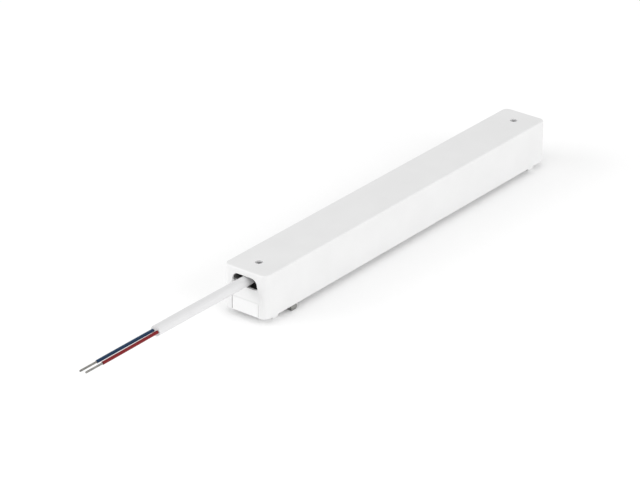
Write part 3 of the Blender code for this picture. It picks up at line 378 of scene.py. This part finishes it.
def loft(name, rings):
    """A closed form: a filled circle, extruded once for each ring and its points set on that ring."""
    steps = range(len(rings[0]))
    bpy.ops.mesh.primitive_circle_add(vertices=len(steps), radius=1, fill_type="NGON")
    obj = settle(named(name))
    bpy.ops.object.mode_set(mode="EDIT")
    bpy.ops.mesh.select_all(action="SELECT")
    for number, ring in enumerate(rings):
        if number:
            bpy.ops.mesh.extrude_region_move()
        shape = bmesh.from_edit_mesh(obj.data)
        shape.verts.index_update()
        last = rings[number - 1]
        for vertex in [v for v in shape.verts if v.select]:
            step = vertex.index
            if number:
                step = min(steps, key=lambda i: (last[i] - vertex.co).length_squared)
            vertex.co = ring[step]
        bmesh.update_edit_mesh(obj.data)
    bpy.ops.mesh.select_all(action="SELECT")
    bpy.ops.mesh.normals_make_consistent(inside=False)
    bpy.ops.object.mode_set(mode="OBJECT")
    return obj


def apply(obj, kind, **values):
    """Adds a modifier and applies it."""
    only(obj)
    modifier = obj.modifiers.new(kind.lower(), kind)
    for name, value in values.items():
        setattr(modifier, name, value)
    bpy.ops.object.modifier_apply(modifier=modifier.name)


def combine(obj, other, operation="DIFFERENCE"):
    """Cuts or joins another object, and removes it."""
    apply(obj, "BOOLEAN", object=other, solver="EXACT", operation=operation)
    bpy.data.objects.remove(other)


def shade(obj, angle=30.0):
    """Smooth shading across shallow edges, with the flats left flat."""
    only(obj)
    bpy.ops.object.shade_smooth_by_angle(angle=math.radians(angle))
    apply(obj, "WEIGHTED_NORMAL", weight=100, keep_sharp=True)


# Cover


def eased(share):
    share = min(max(share, 0), 1)
    return share * share * (3 - 2 * share)


def dish_ring(sizes, share, steps):
    """The mouth's outline as (x, depth, z). Its lower half falls and widens by a share of the dish.

    The dish is shallow at the mouth's sides and comes to its full depth at the mouth's lower edge.
    """
    end_radius = sizes.mouth_height / 2
    straight = sizes.mouth_width / 2 - end_radius
    level = COVER_HIGH.z - sizes.mouth_drop
    bottom = COVER_LOW.z + sizes.notch_height + PLAY
    shallow = 0.3
    fall = level - end_radius - bottom
    points = []
    for step in range(steps):
        turn = 2 * math.pi * (step + 0.5) / steps
        across, up = math.cos(turn), math.sin(turn)
        x = straight + end_radius * abs(across)
        z = level + end_radius * up
        depth = sizes.dish_depth * (1 - share) * (shallow + (1 - shallow) * eased(-up))
        if up < 0:
            z -= share * fall * eased(-up)
            flank = sizes.mouth_width / 2 + sizes.dish_flare * eased((level - z) / sizes.dish_spread)
            flank -= sizes.dish_corner * (1 - abs(across)) ** 2
            x = max(x, x + (flank - x) * share)
            depth *= 1 - share * abs(across)
        points.append((math.copysign(x, across), depth, z))
    return points


def mouth_tool(sizes, end):
    """Cuts a cable mouth: a loft out through the dish."""
    dish = [dish_ring(sizes, step / DISH_RINGS, MOUTH_SIDES) for step in range(DISH_RINGS + 1)]
    inside = [(x, 2 * sizes.wall + OVERLAP, z) for x, depth, z in dish[0]]
    outside = [(x, -OVERLAP, z) for x, depth, z in dish[-1]]
    shift = -end * sizes.mouth_shift
    rings = []
    for ring in [inside, *dish, outside]:
        rings.append([Vector((x + shift, end * (COVER_HIGH.y - depth), z)) for x, depth, z in ring])
    return loft(f"mouth_{end:+d}", rings)


def top_edge(edge):
    return all(v.co.z > COVER_HIGH.z - TOUCH for v in edge.verts) and edge.calc_face_angle(0) > 1


class LEDDRIVER_OT_cover(bpy.types.Operator):
    """Model the moulded cover with its mouths, notches, ribs and counterbores"""

    bl_idname = "led_driver.cover"
    bl_label = "Cover"

    def execute(self, context):
        sizes = settings().cover
        width, length, height = COVER_HIGH - COVER_LOW
        middle = (COVER_HIGH.z + COVER_LOW.z) / 2
        outside = (width, length, height)
        cover = block("cover_shell", outside, (0, 0, middle), sizes.plan_radius, CORNER_SEGMENTS)
        bpy.ops.object.mode_set(mode="EDIT")
        pick(cover, "EDGE", top_edge)
        bpy.ops.mesh.bevel(offset=sizes.top_fillet, segments=FILLET_SEGMENTS, affect="EDGES")
        bpy.ops.object.mode_set(mode="OBJECT")

        ceiling = COVER_HIGH.z - sizes.wall
        inner = (width - 2 * sizes.wall, length - 2 * sizes.wall)
        cavity_height = ceiling - COVER_LOW.z + OVERLAP
        centre = (0, 0, ceiling - cavity_height / 2)
        combine(cover, block("cavity", (*inner, cavity_height), centre, sizes.plan_radius - sizes.wall))
        self.add_inner_forms(cover, sizes, inner, ceiling)
        rim = (width - 2 * REBATE_WALL, length - 2 * REBATE_WALL, 2 * (REBATE_HEIGHT + OVERLAP))
        centre = (0, 0, COVER_LOW.z - OVERLAP)
        combine(cover, block("rim_rebate", rim, centre, sizes.plan_radius - REBATE_WALL))
        for end, _ in ENDS:
            tall = sizes.notch_height + OVERLAP
            centre = (-end * sizes.notch_shift, end * COVER_HIGH.y, COVER_LOW.z - OVERLAP + tall / 2)
            combine(cover, block("notch", (sizes.notch_width, 2 * (sizes.wall + OVERLAP), tall), centre))
            combine(cover, mouth_tool(sizes, end))
            self.cut_pocket(cover, sizes, inner, end)
            self.cut_counterbore(cover, end)
        shade(cover)
        cover.data.materials.append(FINISHES["white_plastic"])
        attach(cover, "root")
        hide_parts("cover")
        return {"FINISHED"}

    def add_inner_forms(self, cover, sizes, inner, ceiling):
        """The thicker end walls, the screw bosses and the ribs along the sides."""
        low = COVER_LOW.z + sizes.notch_height
        high = ceiling + OVERLAP
        backing = sizes.wall
        wall = (inner[0] + OVERLAP, backing + OVERLAP, high - low)
        for end, _ in ENDS:
            y = end * (COVER_HIGH.y - sizes.wall - (backing - OVERLAP) / 2)
            combine(cover, block("backing", wall, (0, y, (low + high) / 2)), "UNION")
            screw_y = end * (HEAD_LOW.y + HEAD_HIGH.y) / -2
            boss_end = CLAMP_HIGH.z + PLAY
            radius = (HEAD_HIGH.x - HEAD_LOW.x) / 2 + PLAY + sizes.wall
            combine(cover, rod("boss", radius, boss_end, high, y=screw_y, sides=HOLE_SIDES), "UNION")
        for side in (-1, 1):
            for index in range(RIBS):
                y = RIB_SPAN * ((index + 1) / (RIBS + 1) - 0.5)
                x = side * (inner[0] / 2 - RIB_SINK)
                rib = block("rib", (RIB_DEPTH, RIB_WIDTH, high - RIB_LOW), (x, y, (high + RIB_LOW) / 2))
                combine(cover, rib, "UNION")

    def cut_pocket(self, cover, sizes, inner, end):
        """The pocket inside the end wall that thins it to a lip around the mouth's upper half."""
        level = COVER_HIGH.z - sizes.mouth_drop
        low = level - POCKET_BELOW
        high = level + sizes.mouth_height / 2 + POCKET_ABOVE
        deep = 2 * sizes.wall + OVERLAP - sizes.lip
        centre = (0, end * (COVER_HIGH.y - sizes.lip - deep / 2), (low + high) / 2)
        combine(cover, block("pocket", (inner[0] - 2 * POCKET_SIDE, deep, high - low), centre))

    def cut_counterbore(self, cover, end):
        """The recess for a cover screw's head, its rounded rim and the hole for the shaft."""
        y = end * (HEAD_LOW.y + HEAD_HIGH.y) / -2
        radius = (HEAD_HIGH.x - HEAD_LOW.x) / 2 + PLAY
        ease = 0.2 * MM
        outline = [(radius, SEAT_LEVEL), (radius, COVER_HIGH.z - ease)]
        for step in range(1, RIM_SEGMENTS + 1):
            turn = math.radians(90) * step / RIM_SEGMENTS
            level = COVER_HIGH.z - ease * (1 - math.sin(turn))
            outline.append((radius + ease * (1 - math.cos(turn)), level))
        outline.append((radius + ease, COVER_HIGH.z + OVERLAP))
        combine(cover, loft("counterbore", [circle(0, y, z, r, HOLE_SIDES) for r, z in outline]))
        combine(cover, rod("screw_hole", SHAFT_HOLE_RADIUS, SHAFT_HOLE_LOW, COVER_HIGH.z, y=y))


# Tray, clip and cover screws


class LEDDRIVER_OT_tray(bpy.types.Operator):
    """Refine the base tray: end panels a little inside the cover's end faces, and eased edges"""

    bl_idname = "led_driver.tray"
    bl_label = "Base tray"

    def execute(self, context):
        sizes = settings().tray
        tray = bpy.data.objects.new("tray", NODES["base_tray"].data.copy())
        tray.data.materials.clear()
        bpy.context.scene.collection.objects.link(tray)
        only(tray)
        bpy.ops.object.mode_set(mode="EDIT")
        bpy.ops.mesh.select_all(action="SELECT")
        bpy.ops.mesh.remove_doubles(threshold=0.001 * MM)
        for end, _ in ENDS:
            limit = COVER_HIGH.y - TOUCH
            pick(tray, "FACE", lambda face: all(end * v.co.y > limit for v in face.verts))
            bpy.ops.transform.translate(value=(-end * sizes.shift, -end * sizes.set_back, 0))
        bpy.ops.mesh.select_all(action="SELECT")
        bpy.ops.mesh.dissolve_limited(angle_limit=math.radians(1))
        bpy.ops.object.mode_set(mode="OBJECT")
        apply(tray, "BEVEL", width=sizes.edge, **EASED_EDGES)
        shade(tray)
        tray.data.materials.append(FINISHES["white_tray"])
        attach(tray, "root")
        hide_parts("base_tray")
        return {"FINISHED"}


class LEDDRIVER_OT_clip(bpy.types.Operator):
    """Model the steel clip: a strip under the tray, bent down into a lug at each long edge"""

    bl_idname = "led_driver.clip"
    bl_label = "Retaining clip"

    def execute(self, context):
        sizes = settings().clip
        middle = (CLIP_LOW.y + CLIP_HIGH.y) / 2
        turn = sizes.bend + sizes.thickness
        reach = CLIP_HIGH.x - turn
        level = CLIP_HIGH.z - sizes.thickness / 2
        full = 2 * (reach - sizes.relief)
        clip = block("clip", (full, CLIP_HIGH.y - CLIP_LOW.y, sizes.thickness), (0, middle, level))
        bpy.ops.object.mode_set(mode="EDIT")
        for side in (-1, 1):
            self.bend_lug(clip, sizes.relief, side, (side * reach, middle, CLIP_HIGH.z - turn))
        near = CLIP_LOW.y + sizes.relief
        for y, radius in ((CLIP_HIGH.y, sizes.corner), (near, sizes.near_corner)):
            pick(clip, "EDGE", lambda edge: self.lug_corner(edge, y))
            bpy.ops.mesh.bevel(offset=radius, segments=BEND_SEGMENTS, affect="EDGES")
        bpy.ops.object.mode_set(mode="OBJECT")
        for side in (-1, 1):
            combine(clip, rod("hole", sizes.hole / 2, 0, 2 * level, side * sizes.spacing / 2, middle))
        apply(clip, "BEVEL", width=sizes.edge, **EASED_EDGES)
        shade(clip)
        clip.data.materials.append(FINISHES["spring_steel"])
        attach(clip, "root")
        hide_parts("retaining_clip")
        return {"FINISHED"}

    def bend_lug(self, clip, relief, side, centre):
        """Tapers one end of the strip, spins it down a quarter turn and draws it out to the lug's end."""
        pick(clip, "FACE", lambda face: side * face.normal.x > 0.99)
        bpy.ops.mesh.extrude_region_move(TRANSFORM_OT_translate={"value": (side * relief, 0, 0)})
        limit = abs(centre[0]) - TOUCH
        pick(clip, "VERT", lambda v: side * v.co.x > limit and v.co.y < centre[1])
        bpy.ops.transform.translate(value=(0, relief, 0))
        pick(clip, "FACE", lambda face: side * face.normal.x > 0.99)
        quarter = -side * math.pi / 2
        bpy.ops.mesh.spin(steps=BEND_SEGMENTS, angle=quarter, center=centre, axis=(0, 1, 0))
        drop = CLIP_LOW.z - centre[2]
        bpy.ops.mesh.extrude_region_move(TRANSFORM_OT_translate={"value": (0, 0, drop)})

    def lug_corner(self, edge, y):
        """Whether an edge runs across the lug's thickness, at its lower end and at y."""
        a, b = edge.verts
        across = abs(a.co.x - b.co.x) > 0.5 * MM
        return across and all(v.co.z < CLIP_LOW.z + TOUCH and abs(v.co.y - y) < TOUCH for v in (a, b))


class LEDDRIVER_OT_screws(bpy.types.Operator):
    """Model the two cover screws, each a pan head with a cross recess on a threaded shaft"""

    bl_idname = "led_driver.screws"
    bl_label = "Cover screws"

    def execute(self, context):
        sizes = settings().screw
        for end, label in ENDS:
            node = f"cover_screw_{label}"
            low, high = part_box(node)
            screw = loft(f"{label}_cover_screw", self.rings(sizes, low, high))
            middle = (low + high) / 2
            depth = sizes.recess_depth + OVERLAP
            level = high.z + OVERLAP - depth / 2
            long, short = sizes.recess_span, sizes.recess_width
            for across, along in ((long, short), (short, long)):
                combine(screw, block("recess", (across, along, depth), (middle.x, middle.y, level)))
            shade(screw, 40)
            screw.data.materials.append(FINISHES["zinc"])
            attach(screw, "root")
            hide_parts(node)
        return {"FINISHED"}

    def rings(self, sizes, low, high):
        """Rings from the tip up: the thread's ridges, the shoulder, and the domed head."""
        seat = high.z - sizes.head_height
        shaft, head = sizes.shaft / 2, (high.x - low.x) / 2
        root, tip = 0.85 * shaft, 0.5 * shaft
        ease = 0.05 * MM
        level = low.z + 0.4 * MM
        outline = [(tip, low.z), (root, level)]
        while level + sizes.pitch < seat - 2 * ease:
            outline += [(shaft, level + sizes.pitch / 2), (root, level + sizes.pitch)]
            level += sizes.pitch
        outline += [(root, seat), (head - ease, seat), (head, seat + ease)]
        side = 0.45 * sizes.head_height
        dome = 0.9 * MM
        for step in range(DOME_SEGMENTS + 1):
            turn = math.radians(90) * step / DOME_SEGMENTS
            level = seat + side + (sizes.head_height - side) * math.sin(turn)
            outline.append((head - dome * (1 - math.cos(turn)), level))
        x, y = (low.x + high.x) / 2, (low.y + high.y) / 2
        return [circle(x, y, z, r, ROD_SIDES) for r, z in outline]


# Lead


def smooth_line(route, spacing):
    """Evenly spaced points on one smooth curve through the route's points."""
    fine = 20
    knots = [Vector(point) for point in route]
    knots = [2 * knots[0] - knots[1], *knots, 2 * knots[-1] - knots[-2]]
    line = []
    for a, b, c, d in zip(knots, knots[1:], knots[2:], knots[3:]):
        for t in [step / fine for step in range(fine)]:
            bend = (2 * a - 5 * b + 4 * c - d) * t**2 + (3 * b - a - 3 * c + d) * t**3
            line.append((2 * b + (c - a) * t + bend) / 2)
    line.append(knots[-2])
    travelled = [0.0]
    for a, b in zip(line, line[1:]):
        travelled.append(travelled[-1] + (b - a).length)
    count = max(2, round(travelled[-1] / spacing) + 1)
    points, at = [], 0
    for index in range(count):
        wanted = travelled[-1] * index / (count - 1)
        while at < len(line) - 2 and travelled[at + 1] < wanted:
            at += 1
        share = (wanted - travelled[at]) / (travelled[at + 1] - travelled[at])
        points.append(line[at].lerp(line[at + 1], share))
    return points


def cable(name, route, diameter, spacing, finish):
    """A round cable along a route, with closed ends."""
    curve = bpy.data.curves.new(name, "CURVE")
    curve.dimensions = "3D"
    curve.bevel_depth = diameter / 2
    curve.bevel_resolution = 10
    curve.use_fill_caps = True
    points = smooth_line(route, spacing)
    spline = curve.splines.new("POLY")
    spline.points.add(len(points) - 1)
    for point, place in zip(spline.points, points):
        point.co = (*(MOUTH + place), 1)
    spline.use_smooth = True
    obj = bpy.data.objects.new(name, curve)
    bpy.context.scene.collection.objects.link(obj)
    curve.materials.append(FINISHES[finish])
    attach(obj, "root")
    return obj


def strand_bundle(name, node, sizes):
    """A bare tinned end: six strands round a seventh, twisted along the wire and rounded at the tip."""
    low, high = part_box(node)
    x, z = (low.x + high.x) / 2, (low.z + high.z) / 2
    length = high.y - low.y
    rounding = 0.35 * MM
    rings = []
    for number in range(STRAND_RINGS + 1):
        along = number / STRAND_RINGS
        y = high.y - along * length
        tip = min(1, math.sqrt(max(0, (1 - along) * length / rounding)) * 0.45 + 0.55)
        turn = 2 * math.pi * along * length / sizes.lay
        ring = []
        for step in range(ROD_SIDES):
            place = 2 * math.pi * step / ROD_SIDES
            strand = abs(math.sin(3 * place)) ** 0.7
            radius = sizes.tinned / 2 * tip * (0.84 + 0.16 * strand)
            across, up = radius * math.cos(place + turn), radius * math.sin(place + turn)
            ring.append(Vector((x + across, y, z + up)))
        rings.append(ring)
    wire = loft(name, rings)
    shade(wire, 50)
    wire.data.materials.append(FINISHES["tinned"])
    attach(wire, "root")
    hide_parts(node)
    return wire


def length_of(line):
    return sum((b - a).length for a, b in zip(line, line[1:]))


class LEDDRIVER_OT_lead(bpy.types.Operator):
    """Lay the output lead: its sheath, two cores and their bare tinned ends"""

    bl_idname = "led_driver.lead"
    bl_label = "Output lead"

    def execute(self, context):
        sizes = settings().lead
        coarse, fine = 4 * MM, 2 * MM
        sheath = cable("sheath", SHEATH_ROUTE, sizes.sheath, coarse, "white_sheath")
        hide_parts("lead_sheath")
        length_of(smooth_line(SHEATH_ROUTE, coarse))
        for name, route in (("blue", BLUE_ROUTE), ("red", RED_ROUTE)):
            core = cable(f"{name}_core", route, sizes.core, fine, f"{name}_sheath")
            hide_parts(f"core_{name}")
            bare = strand_bundle(f"{name}_bare_end", f"tinned_end_{name}", sizes)
            length_of(smooth_line(route, fine))
        return {"FINISHED"}


# Finishes


FINISHES = {}


def add_node(tree, kind, links=(), **values):
    """A shader node with its settings, and its inputs set to values or linked to sockets."""
    made = tree.nodes.new("ShaderNode" + kind)
    for name, value in values.items():
        setattr(made, name, value)
    for name, value in dict(links).items():
        if isinstance(value, bpy.types.NodeSocket):
            tree.links.new(value, made.inputs[name])
        else:
            made.inputs[name].default_value = value
    return made


def new_finish(slot, tint, roughness, metallic=0.0, **sockets):
    """A material with one shader, and where its patterns start."""
    material = bpy.data.materials.new("finish_" + slot)
    material.use_nodes = True
    material.diffuse_color = (*tint, 1)
    tree = material.node_tree
    shader = tree.nodes["Principled BSDF"]
    shader.inputs["Base Color"].default_value = (*tint, 1)
    shader.inputs["Roughness"].default_value = roughness
    shader.inputs["Metallic"].default_value = metallic
    for name, value in sockets.items():
        shader.inputs[name.replace("_", " ")].default_value = value
    FINISHES[slot] = material
    return tree, shader, add_node(tree, "TexCoord").outputs["Object"]


def stretched(tree, place, scale):
    return add_node(tree, "Mapping", {"Vector": place, "Scale": scale}).outputs["Vector"]


def noise(tree, place, grain, detail=2.0, roughness=0.5):
    """Soft noise whose blobs are about grain metres across."""
    links = {"Vector": place, "Scale": 1 / grain, "Detail": detail, "Roughness": roughness}
    return add_node(tree, "TexNoise", links).outputs["Fac"]


def cells(tree, place, grain, randomness=1.0):
    links = {"Vector": place, "Scale": 1 / grain, "Randomness": randomness}
    return add_node(tree, "TexVoronoi", links).outputs["Distance"]


def bands(tree, place, grain, axis="Y", distortion=0.0):
    """Round ridges, such as turns of wire, about one and a half grains apart."""
    links = {"Vector": place, "Scale": 0.2 / grain, "Distortion": distortion}
    return add_node(tree, "TexWave", links, bands_direction=axis).outputs["Fac"]


def vary_colour(tree, shader, pattern, tint, contrast, low=0.3, high=0.7):
    """Runs the base colour from darker to lighter than the tint."""
    ramp = add_node(tree, "ValToRGB", {"Fac": pattern})
    ramp.color_ramp.elements[0].position = low
    ramp.color_ramp.elements[1].position = high
    ramp.color_ramp.elements[0].color = (*[c * (1 - contrast) for c in tint], 1)
    ramp.color_ramp.elements[1].color = (*[min(1, c * (1 + contrast)) for c in tint], 1)
    tree.links.new(ramp.outputs["Color"], shader.inputs["Base Color"])


def vary_roughness(tree, shader, pattern, low, high):
    links = {"Value": pattern, "From Min": 0.3, "From Max": 0.7, "To Min": low, "To Max": high}
    spread = add_node(tree, "MapRange", links)
    tree.links.new(spread.outputs["Result"], shader.inputs["Roughness"])


def relief(tree, shader, *heights):
    """Bumps the surface by patterns, each with its height in metres."""
    normal = None
    for pattern, height in heights:
        links = {"Height": pattern, "Distance": height, "Strength": 1.0}
        if normal is not None:
            links["Normal"] = normal
        normal = add_node(tree, "Bump", links).outputs["Normal"]
    tree.links.new(normal, shader.inputs["Normal"])


def moulded(slot, tint, roughness, grain=0.35 * MM, depth=0.004 * MM, contrast=0.015):
    """Moulded plastic: a fine spark-eroded grain, and faint flow marks in its gloss."""
    tree, shader, place = new_finish(slot, tint, roughness)
    fine = noise(tree, place, grain, 3)
    flow = noise(tree, place, 18 * MM, 2)
    vary_colour(tree, shader, flow, tint, contrast)
    vary_roughness(tree, shader, flow, roughness - 0.05, roughness + 0.05)
    relief(tree, shader, (fine, depth), (flow, 0.02 * MM))


def extruded(slot, tint, roughness, contrast=0.04, gloss=0.5):
    """Extruded insulation: smooth, with faint streaks along its length."""
    tree, shader, place = new_finish(slot, tint, roughness, Specular_IOR_Level=gloss)
    streaks = noise(tree, stretched(tree, place, (1, 0.04, 1)), 0.5 * MM, 3)
    fine = noise(tree, place, 0.12 * MM, 2)
    vary_colour(tree, shader, streaks, tint, contrast)
    vary_roughness(tree, shader, streaks, roughness - 0.06, roughness + 0.06)
    relief(tree, shader, (streaks, 0.012 * MM), (fine, 0.002 * MM))


def metal(slot, tint, roughness, direction=(1, 1, 1), grain=0.25 * MM, depth=0.004 * MM, contrast=0.08):
    """Worked or plated metal: fine marks, stretched along one direction where it was drawn or brushed."""
    tree, shader, place = new_finish(slot, tint, roughness, 1.0)
    marks = noise(tree, stretched(tree, place, direction), grain, 4, 0.6)
    cloud = noise(tree, place, 2.5 * MM, 3)
    vary_colour(tree, shader, cloud, tint, contrast)
    vary_roughness(tree, shader, marks, roughness - 0.08, roughness + 0.1)
    relief(tree, shader, (marks, depth))


def coated(slot, tint, roughness, lump=2.2 * MM, depth=0.12 * MM, contrast=0.1):
    """Dipped resin: glossy, slightly lumpy, with fine pits."""
    tree, shader, place = new_finish(slot, tint, roughness)
    lumps = noise(tree, place, lump, 2)
    pits = noise(tree, place, 0.3 * MM, 2)
    vary_colour(tree, shader, lumps, tint, contrast)
    relief(tree, shader, (lumps, depth), (pits, 0.006 * MM))


def granular(slot, tint, roughness, grain=0.3 * MM, depth=0.015 * MM, contrast=0.25):
    """Sintered or filled material: a speckled, dry surface."""
    tree, shader, place = new_finish(slot, tint, roughness)
    specks = cells(tree, place, grain)
    cloud = noise(tree, place, 1.5 * MM, 3)
    vary_colour(tree, shader, specks, tint, contrast, 0.1, 0.9)
    vary_roughness(tree, shader, cloud, roughness - 0.1, roughness + 0.1)
    relief(tree, shader, (specks, depth))


def wound(slot, tint, roughness, metallic, grain, axis, contrast=0.3):
    """Turns of wire or tape, one ridge a turn. The colour is darkened into the grooves between turns as
    painted shade.
    """
    tree, shader, place = new_finish(slot, tint, roughness, metallic)
    turns = bands(tree, place, grain, axis, 0.4)
    fine = noise(tree, place, 0.4 * MM, 2)
    # painted shade: the colour runs darker into the grooves between turns, where the relief is lowest
    vary_colour(tree, shader, turns, tint, contrast, 0.0, 0.8)
    vary_roughness(tree, shader, fine, roughness - 0.05, roughness + 0.1)
    relief(tree, shader, (turns, grain * 0.35), (fine, 0.004 * MM))


def laminate(slot, tint):
    """Circuit board: solder resist over the glass weave and a pattern of copper areas."""
    tree, shader, place = new_finish(slot, tint, 0.35)
    links = {"Vector": place, "Scale": 1 / (4.2 * MM), "Mortar Size": 0.06}
    links.update({"Brick Width": 0.9, "Row Height": 0.37})
    tracks = add_node(tree, "TexBrick", links, offset=0.37).outputs["Fac"]
    yarn = 0.45 * MM
    weave = bands(tree, place, yarn, "X")
    weft = bands(tree, place, yarn, "Y")
    vary_colour(tree, shader, tracks, tint, 0.22, 0.1, 0.9)
    relief(tree, shader, (tracks, 0.035 * MM), (weave, 0.006 * MM), (weft, 0.006 * MM))


class LEDDRIVER_OT_finishes(bpy.types.Operator):
    """Make every finish and give each frame node its own"""

    bl_idname = "led_driver.finishes"
    bl_label = "Finishes"

    def execute(self, context):
        tints = settings().finish
        moulded("white_plastic", tuple(tints.cover), 0.42)
        moulded("white_tray", tuple(tints.tray), 0.42)
        extruded("white_sheath", tuple(tints.sheath), 0.38, 0.02)
        extruded("blue_sheath", tuple(tints.blue), 0.42, gloss=0.2)
        extruded("red_sheath", tuple(tints.red), 0.42, gloss=0.2)
        metal("tinned", (0.27, 0.265, 0.25), 0.40, (1, 0.5, 1), 0.12 * MM, 0.006 * MM, 0.15)
        metal("zinc", (0.42, 0.42, 0.43), 0.32, (1, 1, 1), 0.3 * MM, 0.004 * MM, 0.1)
        metal("spring_steel", (0.31, 0.31, 0.30), 0.38, (0.06, 1, 0.06), 0.2 * MM, 0.003 * MM, 0.08)
        metal("aluminium", (0.72, 0.73, 0.75), 0.36, (1, 0.05, 1), 0.25 * MM, 0.006 * MM, 0.05)
        laminate("board_green", (0.025, 0.15, 0.06))
        moulded("black_resin", (0.022, 0.022, 0.023), 0.5, 0.2 * MM, 0.008 * MM, 0.15)
        moulded("black_nylon", (0.06, 0.06, 0.062), 0.46, 0.5 * MM, 0.01 * MM, 0.2)
        granular("ferrite", (0.05, 0.05, 0.055), 0.6)
        wound("copper", (0.56, 0.21, 0.07), 0.28, 1.0, 0.75 * MM, "Z")
        wound("yellow_tape", (0.72, 0.46, 0.05), 0.3, 0.0, 4.2 * MM, "Z", 0.08)
        moulded("yellow_box", (0.66, 0.46, 0.07), 0.4, 0.3 * MM, 0.006 * MM, 0.05)
        coated("blue_disc", (0.025, 0.11, 0.33), 0.22)
        moulded("green_block", (0.035, 0.27, 0.11), 0.42, 0.3 * MM, 0.006 * MM, 0.06)
        coated("fuse_brown", (0.11, 0.055, 0.035), 0.3, 3 * MM, 0.05 * MM)
        moulded("can_sleeve", (0.028, 0.036, 0.065), 0.26, 1.2 * MM, 0.01 * MM, 0.1)
        for node in NODES.values():
            for slot in node.material_slots:
                slot.material = FINISHES[slot.material.name]
        return {"FINISHED"}


# Studio


class LEDDRIVER_OT_studio(bpy.types.Operator):
    """Build the pale floor, the soft light and the camera"""

    bl_idname = "led_driver.studio"
    bl_label = "Studio"

    def execute(self, context):
        look = settings().studio
        scene = context.scene
        scene.view_settings.view_transform = "Standard"
        scene.view_settings.look = "None"
        scene.view_settings.exposure = 0
        scene.view_settings.gamma = 1
        self.add_floor(look)
        self.add_light(look)
        self.add_camera(look)
        return {"FINISHED"}

    def add_floor(self, look):
        bpy.ops.mesh.primitive_plane_add(size=8, location=(0, 0, 0))
        floor = named("floor")
        _, shader, _ = new_finish("floor", (look.floor,) * 3, 0.9)
        shader.inputs["Specular IOR Level"].default_value = 0.0
        floor.data.materials.append(FINISHES["floor"])

    def add_light(self, look):
        """Even light from all round, and three large soft boxes that face the part."""
        distance, width = 2.2, 1.6
        world = bpy.data.worlds.new("even light")
        world.use_nodes = True
        world.node_tree.nodes["Background"].inputs["Strength"].default_value = look.sky
        world.node_tree.nodes["Background"].inputs["Color"].default_value = (1, 1, 1, 1)
        bpy.context.scene.world = world
        for name, azimuth, elevation, power in (
            ("front box", -90, 15, look.front),
            ("right box", 0, 20, look.right),
            ("left box", -135, 20, look.left),
        ):
            a, e = math.radians(azimuth), math.radians(elevation)
            towards = Vector((math.cos(a) * math.cos(e), math.sin(a) * math.cos(e), math.sin(e)))
            turn = towards.to_track_quat("Z", "Y").to_euler()
            bpy.ops.object.light_add(type="AREA", location=distance * towards, rotation=turn)
            light = named(name)
            light.data.size = width
            light.data.energy = power

    def add_camera(self, look):
        a, e = look.azimuth, look.elevation
        back = Vector((math.sin(a) * math.cos(e), -math.cos(a) * math.cos(e), math.sin(e)))
        place = Vector(look.target) + look.distance * back
        bpy.ops.object.camera_add(location=place, rotation=(math.pi / 2 - e, 0, a))
        camera = named("camera")
        camera.data.sensor_width = 36
        camera.data.lens = look.focal
        camera.data.clip_end = 20
        bpy.context.scene.camera = camera


# Panel and registration


STEPS = (
    LEDDRIVER_OT_finishes,
    LEDDRIVER_OT_studio,
    LEDDRIVER_OT_lead,
    LEDDRIVER_OT_cover,
    LEDDRIVER_OT_tray,
    LEDDRIVER_OT_clip,
    LEDDRIVER_OT_screws,
)


class LEDDRIVER_PT_panel(bpy.types.Panel):
    """Every step and its sizes, in the 3D view's sidebar"""

    bl_idname = "LEDDRIVER_PT_panel"
    bl_label = "LED driver"
    bl_space_type = "VIEW_3D"
    bl_region_type = "UI"
    bl_category = "LED driver"

    def draw(self, context):
        for step in STEPS:
            self.layout.operator(step.bl_idname)
        for part in DriverSettings.__annotations__:
            box = self.layout.box()
            group = getattr(settings(), part)
            for name in group.__annotations__:
                box.prop(group, name)


SETTINGS = (
    CoverSettings,
    TraySettings,
    ClipSettings,
    ScrewSettings,
    LeadSettings,
    FinishSettings,
    StudioSettings,
    DriverSettings,
)
CLASSES = (*SETTINGS, *STEPS, LEDDRIVER_PT_panel)


def register():
    for kind in CLASSES:
        bpy.utils.register_class(kind)
    bpy.types.Scene.led_driver = bpy.props.PointerProperty(type=DriverSettings)


def unregister():
    del bpy.types.Scene.led_driver
    for kind in reversed(CLASSES):
        bpy.utils.unregister_class(kind)


def main():
    register()
    bpy.ops.led_driver.finishes()
    bpy.ops.led_driver.studio()
    bpy.ops.led_driver.lead()
    bpy.ops.led_driver.cover()
    bpy.ops.led_driver.tray()
    bpy.ops.led_driver.clip()
    bpy.ops.led_driver.screws()
    bpy.context.view_layer.update()


if __name__ == "__main__":
    main()
